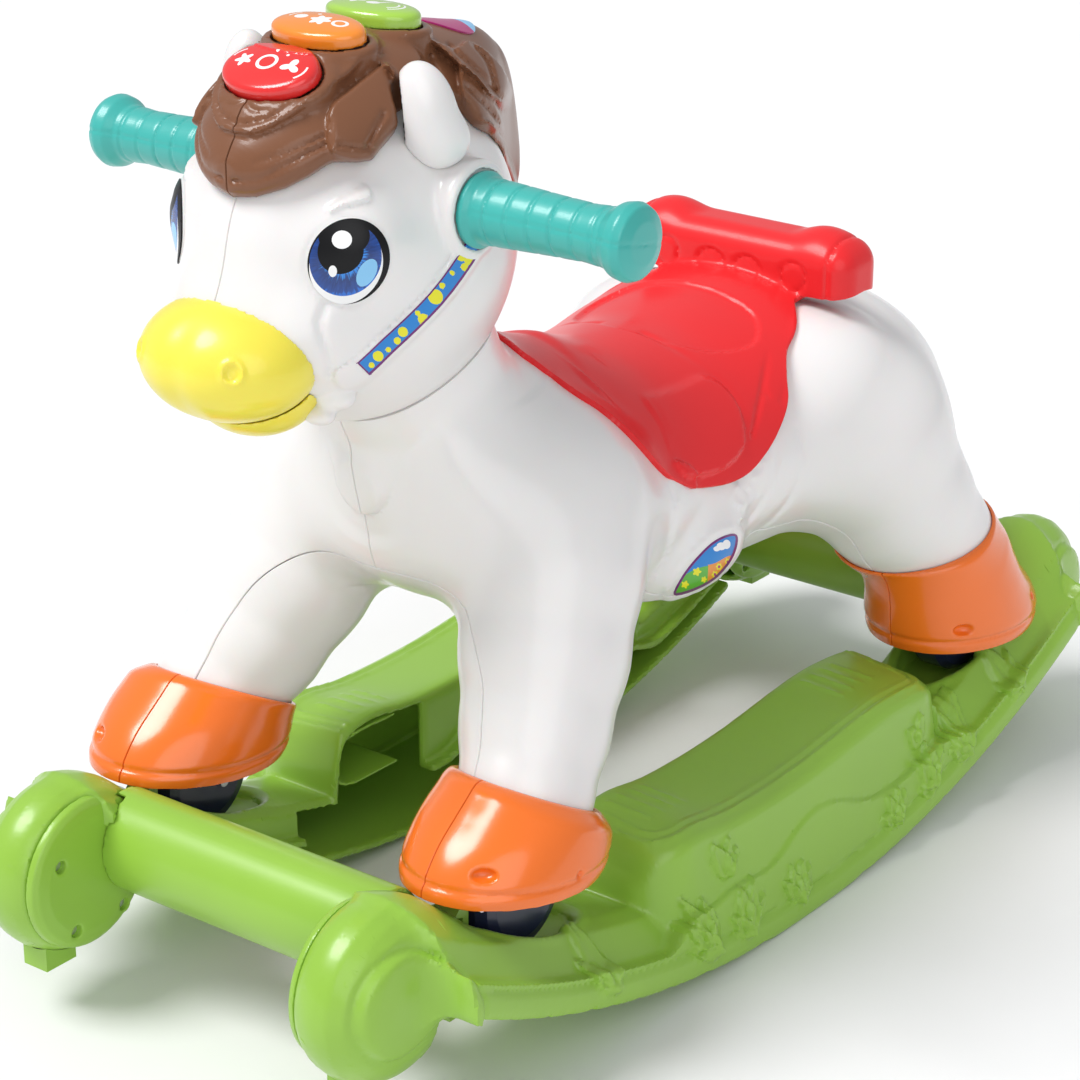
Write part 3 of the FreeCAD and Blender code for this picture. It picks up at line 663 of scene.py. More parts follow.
def leaf(at, length, width, turn):
    """Raised leaf on the rail's outer slope: y, height above the arc, angle from upright."""
    y0, s0 = at
    tilt = math.radians(turn)

    def lift(p):
        u, w = (p[1] - y0) / LEAF_SCALE, (rise(p) - s0) / LEAF_SCALE
        along = u * math.sin(tilt) + w * math.cos(tilt)
        across = u * math.cos(tilt) - w * math.sin(tilt)
        t = np.clip(along / length, 0, 1)
        half = width * np.maximum(np.sin(np.pi * t ** 0.8), 0) ** 0.8 + 0.01
        inside = np.abs(across) / half
        body = smooth(1.08, 0.8, inside) * (np.abs(along - length / 2) < length / 2)
        return LEAF_RISE * body * (1.0 - 0.3 * np.exp(-(across / 0.9) ** 2)) * (0.55 + 0.45 * t)
    return lift


# Leaves in relief on the rails' outer slopes: place along the rail and height of the stem's end,
# then the length, half-width and turn of each leaf.
LEAVES = [((-70, 43), [(18, 5, -28), (17, 3, 8), (14, 3, 34)]),
          ((-60, 9), [(22, 4.5, -8), (24, 4, 16), (19, 3.5, 42), (15, 4, -42)]),
          ((-88, 9), [(28, 4.5, -32), (24, 4.5, -52), (24, 4, -12), (18, 4, -76)]),
          ((-178, 7), [(27, 6.5, -6), (16, 4, -46), (13, 3, 30)]),
          ((-14, 11), [(15, 3, -34), (17, 3, -8), (18, 3, 18), (17, 3, 40), (13, 2.6, 62)]),
          ((84, 11), [(13, 3.5, -50), (16, 3, -18), (16, 3, 10), (15, 3, 36)]),
          ((122, 12), [(18, 4.5, -30), (20, 4, 0), (17, 4, 34), (11, 4, -70)]),
          ((116, 38), [(13, 4, -30), (14, 4, 12)]),
          ((158, 10), [(26, 5, -20), (28, 5.5, 6), (24, 4.5, 32), (16, 4, -52)]),
          ((214, 10), [(20, 5.5, -12), (14, 3.5, 34), (11, 3, -50)])]


def plank(p):
    """A rail without its scrolls: the run of its section along the arc, the mound and the footrest."""
    run = smin(poly2(RAIL_SECTION)(p[0], rise(p)), mound(p), 2.5)
    return smin(run, footrest(p), 2.5)


def inner_ribs(p):
    """U-shaped rib in the rail's open inner side."""
    loop = [(-70, 75), (-104, 75.5), (-116, 70), (-120, 61), (-116, 52), (-104, 47), (-68, 46)]
    return chain(p[1], p[2], spline(loop, 4)) - 1.0


def rail():
    """Left rail as one hollow moulding."""
    field = Field((70, -350, -3), (158, 350, 126), 1.5)
    p = field.near()[1]
    arc = rise(p)
    ends = np.abs(p[1]) - 286
    whole = plank(p)
    upper = np.maximum(whole, ends)
    cavity = np.maximum(upper + RAIL_WALL, ends + 6)
    field.d = np.maximum(upper, -arc)
    for end in (-1, 1):
        field.add(scroll_at(end), 16.0)
        cavity = smin(cavity, scroll_at(end, -RAIL_WALL)(p), 4.0)
        eddy = np.hypot(p[1] - end * (SCROLL_Y + 9), p[2] - SCROLL_Z - 3)
        curl = 2.2 * smooth(27, 24, eddy) - 0.9 * np.exp(-((eddy - 27) / 1.6) ** 2)
        field.d = field.d - smooth(104, 116, p[0]) * curl
    for y in HOOF_Y:
        cavity = np.maximum(cavity, -np.maximum(oval(p, y, 24.5, 46.5), 47 - p[2]))
        well = np.maximum(oval(p, y, 22, 44), 50 - p[2])
        field.d = field.d - 1.2 * np.exp(-((oval(p, y, 22, 44) - 3.5) / 2.0) ** 2) * smooth(36, 42, p[2])
        field.d = -smin(-field.d, well, 3.0)
    rim = footrest_rim(p)
    on_top = smooth(68, 76, p[2]) * smooth(77.5, 80, p[0])
    ridge = np.exp(-((rim + 7) / 1.5) ** 2) + 0.7 * np.exp(-((rim + 13) / 1.3) ** 2)
    field.d = field.d - 1.5 * ridge * on_top
    for first in (-96, 84):
        for k in range(4):
            line = np.exp(-((p[1] - first - 10 * k - 0.12 * (p[0] - 98)) / 1.2) ** 2)
            field.d = field.d - line * smooth(84, 87, p[0]) * smooth(113, 110, p[0]) * on_top
    border = np.exp(-((arc - 13.5) / 1.4) ** 2) * smooth(138, 141, p[0])
    field.d = field.d + 1.2 * border * smooth(285, 265, np.abs(p[1]))
    for at, leaves in LEAVES:
        low, high = (124, at[0] - 34, -3), (157, at[0] + 34, 100)
        for length, width, turn in leaves:
            field.raise_by(leaf(at, length, width, turn), low, high)
    for y in (-150, -50, 50, 150):
        rib = np.maximum(np.abs(p[1] - y) - 1.4, np.maximum(p[0] - 84, 74.5 - p[0]))
        field.d = smin(field.d, np.maximum(rib, np.abs(arc - 15) - 13), 1.5)
    field.d = np.maximum(field.d, -cavity)
    # the open stretch, with its rib, and the sole under it
    stretch = np.abs(p[1] - OPEN_Y) - OPEN_HALF
    side = np.maximum(plank((np.maximum(p[0], RAIL_INNER), p[1], p[2])) + RAIL_WALL, stretch)
    field.d = np.maximum(field.d, -np.maximum(np.maximum(side, 4 - arc), p[0] - RAIL_INNER))
    ribs = np.maximum.reduce(np.broadcast_arrays(inner_ribs(p), whole + 1, 77.5 - p[0], stretch - 1))
    sole = np.maximum(np.maximum(whole + 1, np.abs(arc - 2) - 2), np.abs(p[1]) - 240)
    field.d = np.minimum(field.d, np.minimum(ribs, sole))
    for end in (-1, 1):
        field.d = np.maximum(field.d, -np.maximum(cross_bar(p, end, 0.3), p[0] - BAR_END - 0.3))
    return field


def bar(end):
    """Hollow cross bar, with room at its ends for the scroll covers."""
    field = Field((-90, end * BAR_Y - 30, BAR_Z - 32), (90, end * BAR_Y + 30, BAR_Z + 32), 1.5)
    p = field.near()[1]
    body = np.maximum(cross_bar(p, end), np.abs(p[0]) - BAR_END)
    field.d = np.maximum(body, -np.maximum(cross_bar(p, end, -2.8), np.abs(p[0]) - 90))
    for side in (-1, 1):
        field.cut(drum((side * 90, end * SCROLL_Y, SCROLL_Z), 40.4, 10.2))
    return field


SCREW_SPOTS = [(-21, 12), (29, 12), (20, -26), (-13, -27)]


def scroll_cover(end):
    """Slightly domed lid on a scroll's inner side, with four screw wells."""
    field = Field((76, end * SCROLL_Y - 44, SCROLL_Z - 44), (90, end * SCROLL_Y + 44, SCROLL_Z + 44), 0.9)
    profile = [(80, 0), (80, 30), (81, 36), (83, 39), (86.7, 40), (86.7, 0)]
    field.add(lathe_x(profile, end * SCROLL_Y, SCROLL_Z))
    field.cut(drum((88, end * SCROLL_Y, SCROLL_Z), 36, 4.5))
    for dy, dz in SCREW_SPOTS:
        y, z = end * (SCROLL_Y - dy), SCROLL_Z + dz
        field.add(drum((84, y, z), 5.2, 2.9))
        field.cut(drum((78, y, z), 3.3, 5.6, 0.4), 0.8)
    return field


# ---------------------------------------------------------------- pony: trunk, legs and saddle
TRUNK = [(-180, 258, 8, 8), (-176, 258, 38, 34), (-166, 256, 66, 48, 1.8),
         (-138, 252, 88, 60, 1.6), (-100, 242, 97, 66, 1.5), (-50, 229, 93, 71, 1.55),
         (0, 217, 84, 67, 1.9), (50, 213, 88, 65), (100, 214, 97, 66), (150, 214, 103, 67),
         (200, 214, 97, 62), (238, 213, 72, 48), (250, 212, 44, 32), (255, 212, 10, 8)]
NECK = [(0, -104, 248, 58), (0, -136, 285, 49), (0, -152, 318, 47), (0, -166, 352, 50)]
FRONT_LEG = [(60, -108, 244, 42), (72, -126, 214, 45), (82, -144, 181, 41), (91, -163, 151, 36),
             (100, -182, 127, 32), (104, -191, 115, 31)]
REAR_LEG = [(58, 132, 232, 46), (74, 152, 204, 50), (88, 172, 166, 43), (97, 190, 141, 37),
            (105, 205, 121, 33), (107, 211, 112, 32)]
SADDLE = [(-90, 322, 58, 84, 1.6), (-60, 309, 84, 80, 1.6), (-45, 304, 90, 80, 1.6),
          (-10, 292, 93, 74, 1.7), (40, 288, 95, 72, 1.8), (85, 291, 100, 74, 1.9),
          (120, 295, 101, 78, 2), (160, 294, 99, 78, 2), (190, 284, 94, 68, 2)]
SADDLE_SIDE = [(-86, 345), (-84, 300), (-76, 286), (-70, 274), (-61, 260), (-51, 248), (-40, 240),
               (-28, 234), (-12, 230), (4, 228), (20, 229), (38, 235), (53, 243), (66, 252),
               (76, 262), (87, 270), (100, 276), (116, 283), (132, 288), (150, 290), (176, 292),
               (180, 345)]
SEAT_OVAL = [(0, 99), (24, 98), (42, 94), (53, 78), (50, 60), (40, 42), (22, 28), (0, 22)]
HOOF = [(86, 0, 39, 51), (92, 0, 42, 54), (98, 0, 45, 57), (106, 1, 46, 58), (115, 4, 45, 56),
        (125, 9, 43, 52), (135, 16, 40, 46), (145, 23, 37, 40), (156, 30, 35, 36), (166, 36, 33, 33)]
# The cuff where each hoof ends round its leg: upright direction of the edge, and its distance.
CUFF = {"front": ((0.012, 0.464, 0.885), 31.0), "rear": ((0.0, -0.30, 0.954), 83.4)}
# Screw hole and dimple on each hoof's outer side.
HOOF_HOLES = {"front": ((125, -246, 117), (149, -203, 107)),
              "rear": ((136.5, 171.5, 98), (144.5, 234.5, 100))}
HOOF_SEAM = 98.0                             # plane between the hooves' outer and inner halves
HOOF_RIM = {"front": 96.0, "rear": 81.0}     # height of a hoof's lower rim
REAR_DROP = 14.0                             # how much lower the rear hooves reach
LEG_END = 117.0                              # the legs stop here, inside the hooves


def limb(path, blend):
    """Chain of round runs, as one shape."""
    def shape(p):
        out = None
        for a, b in zip(path, path[1:]):
            run = cone(a[:3], b[:3], a[3], b[3])(p)
            out = run if out is None else smin(out, run, blend)
        return out
    return shape


def bare_body(field):
    """Adds the trunk, neck, legs and the swell at the girth to a field."""
    field.add(loft(TRUNK))
    field.add(limb(NECK, 6.0), 24.0, (-90, -232, 190), (90, -20, 392))
    for path, low, high in ((FRONT_LEG, -232, -40), (REAR_LEG, 60, 262)):
        field.add(both(limb(path, 6.0)), 26.0, (-152, low, 84), (152, high, 300))
    field.add(both(egg((60, -11, 191), (33, 48, 26))), 14.0, (-120, -80, 140), (120, 60, 240))


def body_field():
    """Trunk, neck and legs with the relief on the flanks."""
    field = Field((-152, -232, 84), (152, 262, 392), 1.9)
    bare_body(field)
    field.raise_by(body_relief, (-120, -90, 150), (120, 90, 262))
    return field


def body_relief(p):
    """Girth strap, buckle rings and creases on the flank."""
    u, w = oblique(p)
    side = smooth(30, 45, np.abs(p[0]))
    rim = poly2(spline(BADGE, 4, True))(u, w)
    height = 1.6 * smooth(5.2, 3.8, rim) - 1.0 * smooth(1.6, 0.6, rim)
    pad = poly2(spline(GIRTH, 4, True))(u, w)
    height = np.maximum(height, 1.3 * smooth(1.0, -0.8, pad))
    for at, size in (((209.5, -148.5), 5.0), ((202.5, -163), 5.5)):
        ring = np.hypot(u - at[0], w - at[1]) - size
        height = height + 0.9 * np.exp(-(ring / 1.1) ** 2)
    height = height + 0.9 * smooth(2.4, 1.2, np.hypot(u - 203, w + 175))
    for points in FLANK_CREASES:
        height = height - 1.0 * np.exp(-(chain(u, w, spline(points, 4)) / 1.6) ** 2)
    return height * side


# In the oblique plane: across and up.
BADGE = [(165, -214.5), (169, -204.5), (176, -195.5), (184.5, -187.5), (192.5, -183.5), (198.5, -183),
         (199.5, -188), (196, -197), (187.5, -206.5), (176, -212.5)]
GIRTH = [(163, -152), (186, -150), (200, -158), (206, -166), (200, -178), (182, -184), (170, -194),
         (158, -214), (148, -216), (158, -200), (163, -184), (165, -168)]
FLANK_CREASES = [[(221, -138), (219, -156), (206, -176)],
                 [(233, -127), (236, -145), (228, -166), (210, -184)]]
CLOUD = [((190, -189.5), (2.6, 2.0)), ((193, -188.5), (2.2, 2.4)), ((187.5, -190.8), (1.8, 1.3))]
FLOWERS = [((177, -202.5), 2.4), ((171, -209), 2.2), ((181, -206.5), 1.7)]
BLOOMS = [(189, -200), (194, -197.5), (187, -204)]


def badge_parts(v):
    """Values that are negative inside each printed shape of the badge's landscape, from the
    bottom up: sky, hill, meadow, cloud, flowers, blooms and their middles."""
    u, w = oblique(columns(v))
    inside = poly2(spline(BADGE, 4, True))(u, w) + 1.5
    hill = w + 203.5 - 0.30 * (u - 178) - 3.0 * np.sin((u - 166) / 8.0)
    meadow = w + 199 - 6.5 * np.exp(-((u - 196) / 8.0) ** 2) + 0.12 * (u - 180)
    cloud = np.minimum.reduce([disc(u, w, at, half) for at, half in CLOUD])
    flowers = np.minimum.reduce([star(u, w, at, size, 5, 0.4) for at, size in FLOWERS])
    blooms = np.minimum.reduce([star(u, w, at, 1.9, 6, 0.3) for at in BLOOMS])
    hearts = np.minimum.reduce([disc(u, w, at, (0.8, 0.8)) for at in BLOOMS])
    shapes = inside, hill, np.maximum(meadow, 183 - u), cloud, flowers, blooms, hearts
    return [np.maximum(value, inside) for value in shapes]


def make_badges(body):
    def edge(v):
        return np.maximum(poly2(spline(BADGE, 4, True))(*oblique(columns(v))), 40 - v[:, 0])
    skin = raised(body.part(edge, 0.3, 0.3), 0.5)
    finishes = [PRINT_PURPLE, PRINT_BLUE, PRINT_LEAF, PRINT_ORANGE, PRINT_WHITE, PRINT_YELLOW,
                PRINT_YELLOW, PRINT_MAGENTA]
    for index in range(len(finishes) - 1):
        skin.paint(lambda v: badge_parts(v)[index], index + 1)
    show_pair("badge_print", skin.thick(0.8), finishes, "badge")


def belly_arch(v):
    """Distance outside the seam that arches over the chest and inside the legs."""
    x, z = np.abs(v[:, 0]) / 95, np.maximum(v[:, 2] - 60, 0.01) / 155
    slope = np.sqrt((3.4 / 95 * x ** 2.4) ** 2 + (3 / 155 * z ** 2) ** 2)
    return (x ** 3.4 + z ** 3 - 1) / np.maximum(slope, 1e-3)


def head_side(v):
    """Distance outside the head, near the neck's top."""
    return np.linalg.norm((v - (0, -184, 384)) / (70, 88, 84), axis=1) * 78 - 78


def make_body():
    field = body_field()
    patch = Field((60, -70, 160), (110, 40, 250), 0.9)
    patch.d = field.sample(patch.points()).reshape(patch.d.shape)
    make_badges(solid(patch))
    skin = solid(field).part(lambda v: 1.0 - head_side(v), 0, 0).part(lambda v: LEG_END - v[:, 2], 0, 0)
    half = skin.part(lambda v: -belly_arch(v)).part(lambda v: -v[:, 0])
    for side, shell in (("_left", half), ("_right", half.mirrored())):
        show("body" + side, shell.thick(WALL), [WHITE], ["body_shell" + side])
    show("belly", skin.part(belly_arch).thick(WALL), [WHITE], ["underbody"])


def saddle_field():
    """Saddle with its seat, tongue, creases and blanket roll, before it is cut to its outline."""
    box = (-114, -92, 222), (114, 196, 330), 1.5
    field, under = Field(*box), Field(*box)
    p = field.near()[1]
    x, y, z = p
    half = np.abs(x)
    field.add(loft([(place, top - tall, wide, tall, n) for place, top, wide, tall, n in SADDLE]))
    # rolled front edge
    lean = 0.62 * (z - 296) + 0.78 * (-58 - y) + 0.11 * np.maximum(half - 50, 0)
    field.d = -smin(-field.d, -lean, 9.0)
    # sunken seat, with a step round its back
    oval = poly2(spline(SEAT_OVAL + [(-a, b) for a, b in SEAT_OVAL[-2:0:-1]], 5, True))(x, y)
    field.d = field.d + 2.0 * smooth(1.2, -1.2, oval) * smooth(10, 60, y)
    side = (half, y, z)
    # raised band along the front edge
    field.d = field.d - 3.2 * smooth(14.5, 12.0, path_gap(spline(SADDLE_BAND, 3))(side))
    # fender: a tongue that stands proud of the flank
    tongue = poly2(spline(FENDER, 4, True))(y, z)
    field.d = field.d - 2.6 * smooth(1.2, -1.2, tongue) * smooth(50, 60, half)
    for depth, width, points in SADDLE_LINES:
        field.d = field.d + depth * np.exp(-(path_gap(spline(points, 3))(side) / width) ** 2)
    # blanket roll at the back
    roll = brick((0, 149, 297), (75, 20, 20), 14.0)(p)
    roll = smin(roll, both(egg((50, 150, 305), (21, 17, 17)))(p), 5.0)
    roll = roll + 1.3 * np.exp(-((half - 63) / 1.2) ** 2)
    curl = np.minimum(np.abs(np.hypot(half - 42, z - 297) - 8), np.abs(np.hypot(half - 12, z - 294) - 9))
    roll = roll + 1.2 * np.exp(-(curl / 1.1) ** 2) * smooth(136, 132, y)
    field.d = smin(field.d, roll, 4.0)
    # the saddle covers the trunk everywhere
    bare_body(under)
    field.d = smin(field.d, under.d - 2.6, 1.5)
    return field


SADDLE_BAND = [(0, -72, 316), (31, -70, 293), (58, -70, 279), (76, -68, 268), (89, -59, 259),
               (91, -52, 247), (94, -40, 240)]
# The tongue's outline in the YZ plane.
FENDER = [(-29, 276), (-33, 265), (-39, 257), (-41, 250), (-36, 243), (-20, 238.5), (-3, 236.5),
          (12, 239.5), (24, 245), (31, 257), (32, 267), (22, 273), (7, 273), (-10, 274)]
# Creases and folds of the saddle: depth, width, then points on its left half.
SADDLE_LINES = [
    (2.2, 2.2, [(25, -54, 300), (40, -58, 298), (53, -50, 295), (57, -32, 283), (65, -27, 274),
                (76, -33, 264)]),
    (2.2, 2.4, [(15, 29, 287), (32, 30, 284), (51, 32, 278), (62, 34, 270), (77, 33, 258),
                (87, 24, 245)]),
    (1.6, 1.5, [(-20, 94, 294), (1, 98, 297), (21, 99, 296), (42, 98, 291), (57, 88, 282), (67, 68, 268),
                (76, 48, 255), (83, 30, 243)]),
    (1.6, 1.5, [(0, 110, 302), (13, 110, 303), (39, 115, 300), (57, 111, 291), (67, 98, 280), (75, 80, 268),
                (82, 62, 254)]),
    (1.4, 1.6, [(66, 50, 275), (73, 48, 266), (79, 44, 255)]),
    (1.4, 1.6, [(64, 64, 277), (70, 60, 268), (76, 56, 258)]),
    (1.0, 1.6, [(0, -30, 291), (20, -30, 291), (40, -29, 288), (54, -28, 281)])]


def make_saddle():
    outline = poly2(spline(SADDLE_SIDE, 6, True))
    skin = solid(saddle_field()).part(lambda v: outline(v[:, 1], v[:, 2]), 0, 0.8)
    show("saddle_shell", skin.thick(3.0), [RED], ["saddle"])


def hoof_field(y, leg, name):
    """A hoof at its wheel, on the left side, with a cuff up to a slanting edge round the leg."""
    back, drop = {"front": (1, 0), "rear": (-1, REAR_DROP)}[name]
    field = Field((HOOF_X - 54, y - 74, 70), (HOOF_X + 52, y + 64, 176), 1.1)
    bell = loft([(z - drop, back * shift, w, l) for z, shift, w, l in HOOF], 2)
    field.add(lambda p: bell((p[0] - HOOF_X, p[1] - y, p[2])))
    field.add(lambda p: leg(p) - 2.2, 8.0)
    field.raise_by(lambda p: -1.2 * np.exp(-((hoof_floor(p, y, name) + 8.5) / 1.5) ** 2))
    out, reach = CUFF[name]

    def edge(p):
        return sum(p[i] * out[i] for i in range(3)) - reach
    field.keep(lambda p: leg(p) - 3.4 + 1.3 * np.minimum(edge(p), 0), 3.0)
    field.keep(edge, 1.5)
    hole, dimple = HOOF_HOLES[name]
    field.cut(egg(hole, (6.5, 5.0, 3.4), (-14, 0, 40)), 1.2)
    field.cut(egg(dimple, (3.4, 2.2, 2.2)), 0.8)
    return field


def hoof_floor(p, y, name):
    """Distance below the rim of a hoof, which tilts a little from toe to heel."""
    tilt = {"front": 0.09, "rear": 0.018}[name]
    return HOOF_RIM[name] - tilt * (p[1] - y) - p[2]


def make_hooves():
    for y, name, path in ((HOOF_Y[0], "front", FRONT_LEG), (HOOF_Y[1], "rear", REAR_LEG)):
        leg = limb(path, 6.0)
        skin = solid(hoof_field(y, leg, name)).part(lambda v: hoof_floor(columns(v), y, name), 0, 1.6)
        skin = skin.part(lambda v: 0.7 - leg(columns(v)), 0, 0)
        for half, out in (("outer", 1), ("inner", -1)):
            piece = skin.part(lambda v: out * (HOOF_SEAM - v[:, 0]), SEAM, 0.4).thick(WALL)
            show_pair("_".join(("hoof", name, half)), piece, [ORANGE], "_".join(("hoof", half, name)))


def make_base():
    show_pair("rail_shell", solid(rail(), 0.02), [GREEN], "rail")
    for end, name in ((-1, "front"), (1, "rear")):
        show("bar_" + name, solid(bar(end)), [GREEN], [name + "_cross_bar"])
        show_pair("lid_" + name, solid(scroll_cover(end)), [GREEN], "scroll_cover_" + name)


# ---------------------------------------------------------------- pony: head
HEAD_AT, HEAD_HALF = (0, -184, 384), (70, 88, 84)
BAR_AT = (0.0, -178.0, 411.0)
# Place, tilt back in degrees, and half-axes of each button.
BUTTONS = {"red_button": ((0, -239, 480), 27.0, (25.5, 17.5)),
           "orange_button": ((0, -205, 493), 8.0, (25.5, 14.5)),
           "green_button": ((0, -166, 494), -3.0, (25.5, 16.0))}
BED_RIM, BUTTON_GAP = 5.5, 0.7
EYE_AT = (49.0, -244.0, 398.5)
EYE_ACROSS = (0.625, 0.774, -0.09)           # towards the back of the head
EYE_UP = (-0.107, 0.133, 0.987)
EYE_OUT = (0.776, -0.607, 0.166)
EYE_HALF = (18.0, 19.3)
# In the oblique plane: across and up.
STRAP = [(72, -42), (67, -53), (59, -66), (50, -78), (39.5, -89), (29, -99), (17.5, -110), (10, -114)]


def oblique(p):
    """Coordinates in a plane that faces the left front (its mirror image, the right front).
    Both have the same shape."""
    x, y, z = np.abs(p[0]), p[1] + 200, p[2] - 440
    return 0.792 * x + 0.61 * y + 0 * z, -0.23 * x + 0.299 * y + 0.926 * z


def chain(u, w, points):
    """Distance in a plane to a chain of points."""
    return path_gap([(a, b, 0) for a, b in points])((u, w, 0 * u))


def in_plane(p, at, across, up, out):
    """Coordinates of points in a plane that stands at a place."""
    d = [p[i] - at[i] for i in range(3)]
    return [sum(d[i] * axis[i] for i in range(3)) for axis in (across, up, out)]


def on_eye(p):
    """Coordinates in the left eye's plane."""
    return in_plane(p, EYE_AT, EYE_ACROSS, EYE_UP, EYE_OUT)


def disc(u, w, at, half, turn=0.0):
    """Distance outside an oval in a plane; the turn is in degrees."""
    c, s = math.cos(math.radians(turn)), math.sin(math.radians(turn))
    du, dw = u - at[0], w - at[1]
    du, dw = du * c + dw * s, -du * s + dw * c
    k = np.sqrt((du / half[0]) ** 2 + (dw / half[1]) ** 2) + 1e-6
    return (k - 1) * min(half)


def eye_edge(v):
    """Distance outside the printed eye, on the front of the head only."""
    across, up, out = on_eye(columns(v))
    return np.maximum(disc(across, up, (0, 0), EYE_HALF), -18 - out)


def head(field, grow=0.0):
    """Adds the bare head to a field."""
    field.add(egg(HEAD_AT, [h + grow for h in HEAD_HALF]))
    field.add(egg((0, -235, 359), [h + grow for h in (51, 50, 32)]), 18.0)
    field.add(both(egg((34, -228, 401), [h + grow for h in (30, 27.5, 29.5)])), 9.0)


def muzzle_shape(grow=0.0):
    return egg((0, -270, 351), [h + grow for h in (44, 38, 29)])


def head_field():
    """Head with the raised bridle strap."""
    field = Field((-78, -294, 298), (78, -92, 470), 1.3)
    head(field)
    low, high = (24, -262, 318), (78, -160, 410)
    field.raise_by(lambda p: 1.7 * smooth(5.9, 4.5, chain(*oblique(p), spline(STRAP, 2))), low, high)
    return field


def face_details(p):
    """Brow, eye rim and snout crease, on the left side."""
    across, up, out = on_eye(p)
    front = smooth(-26, -20, out)
    rim = disc(across, up, (0, 0), EYE_HALF)
    height = -0.8 * np.exp(-((rim - 0.9) / 0.9) ** 2) * front
    gap = chain(across, up, [(-9, 23), (-5, 25.5), (1, 27.5), (7, 29.5)])
    thick = np.interp(across, (-9, 8), (1.0, 2.6))
    height = height + 2.0 * smooth(thick + 1.0, thick - 0.8, gap) * front
    crease = chain(*oblique(p), [(2, -82), (-1, -90), (1, -98), (4, -106), (3, -112)])
    return height - 1.2 * np.exp(-(crease / 1.8) ** 2)


def make_head():
    field = head_field()
    field.raise_by(face_details, (0, -294, 298), (78, -180, 450))
    field.add(drum((63, *BAR_AT[1:]), 22.5, 9.0, 3.5), 4.0, (20, -210, 380), (78, -140, 445))
    field.cut(drum((74, *BAR_AT[1:]), 18.6, 4.2, 0.8), 0.0, (50, -210, 380), (78, -140, 445))
    field.add(egg((37, -241, 331), (9.5, 6, 6.5), (0, 0, 40)), 2.0)
    field.add(egg((31, -246, 323), (9, 6, 5)), 2.0)
    skin = solid(field).part(lambda v: -v[:, 0], SEAM, 0.35).thick(WALL)
    show_pair("head", skin, [WHITE], "head_shell")


PRINT_WALL = 0.35
EYE_ART = [  # material, centre, half-axes, turn of each oval, from the bottom up
    (1, (-1.3, -1.6), (16.0, 17.6), 0), (2, (-1.7, 1.0), (15.6, 16.4), 0),
    (0, (-4.4, 5.0), (9.8, 10.2), 0), (0, (-3.0, 11.5), (11.0, 8.6), 0),
    (3, (-4.2, 10.2), (4.3, 4.0), 0), (3, (-7.4, -3.9), (1.8, 2.7), 8),
    (4, (7.6, -4.9), (4.2, 6.6), -22)]


def make_eyes():
    field = Field((14, -284, 370), (76, -206, 430), 1.1)
    head(field)
    for side, name in ((1, "left"), (-1, "right")):
        skin = raised(solid(field).part(eye_edge, 0, 0.3), 0.4)
        for number, at, half, turn in EYE_ART:
            def art(v):
                across, up, _ = on_eye(columns(v))
                return disc(side * across, up, at, half, turn)
            skin.paint(art, number)
        lid = skin.thick(PRINT_WALL)
        at, up = ((side * axis[0], *axis[1:]) for axis in (EYE_AT, EYE_UP))
        across = (EYE_ACROSS[0], side * EYE_ACROSS[1], side * EYE_ACROSS[2])
        iris = iris_finish("iris_" + name, at, across, up)
        show("eye_print_" + name, lid if side > 0 else lid.mirrored(),
             [PRINT_BLACK, PRINT_WHITE, iris, PRINT_WHITE, PRINT_SKY], ["eye_" + name])


LABEL_SPOTS = [(61.5, -58, 2.6), (65, -60, 2.3), (63, -63, 1.8), (57.5, -66, 1.1), (50, -77, 3.3),
               (53, -72, 1.4), (44.5, -87, 2.4), (42, -84.5, 1.2), (35.5, -93, 2.2), (33, -97, 1.6),
               (29, -101, 1.2), (24.5, -104, 2.3), (21.5, -108, 1.3)]


def make_labels():
    field = head_field()

    def edge(v):
        u, w = oblique(columns(v))
        ends = np.maximum(0.5 * (u - 67) + 0.86 * (w + 53), -0.7 * (u - 18) - 0.7 * (w + 110))
        return np.maximum.reduce([chain(u, w, spline(STRAP, 2)) - 3.5, ends, 24 - v[:, 0]])
    skin = raised(solid(field).part(edge, 0, 0.2), 0.45)
    skin.paint(lambda v: edge(v) + 0.7, 1)
    for across, up, radius in LABEL_SPOTS:
        skin.paint(lambda v: np.maximum(disc(*oblique(columns(v)), (across, up), (radius, radius)),
                                        edge(v) + 0.7), 2)
    finishes = [PRINT_PURPLE, PRINT_BLUE, PRINT_YELLOW]
    show_pair("cheek_label", skin.thick(PRINT_WALL), finishes, "bridle_label")


def make_muzzle():
    box = (-50, -314, 304), (50, -216, 386), 1.0
    field, room, lip = Field(*box), Field(*box), Field(*box)
    head(room, 0.3)
    field.add(muzzle_shape())
    field.raise_by(nostril)
    # shallow dip down the middle of the front
    field.raise_by(lambda p: -1.5 * np.exp(-(p[0] / 7.0) ** 2) * smooth(-285, -305, p[1]))
    field.d = np.maximum(field.d, -room.d)
    show("muzzle_cap", solid(field), [YELLOW], ["muzzle"])
    lip.add(egg((0, -254, 338), (34.5, 30.5, 28)))
    lip.d = np.maximum(np.maximum(lip.d, -room.d), -muzzle_shape(0.6)(lip.near()[1]))
    show("chin", solid(lip), [YELLOW], ["lower_lip"])


def nostril(p):
    """Ring on each side of the snout, sunk inside."""
    u, w = oblique(p)
    away = disc(u, w, (-38, -113.5), (4.9, 5.2))
    return np.exp(-(away / 1.2) ** 2) - smooth(-1.0, -2.4, away)


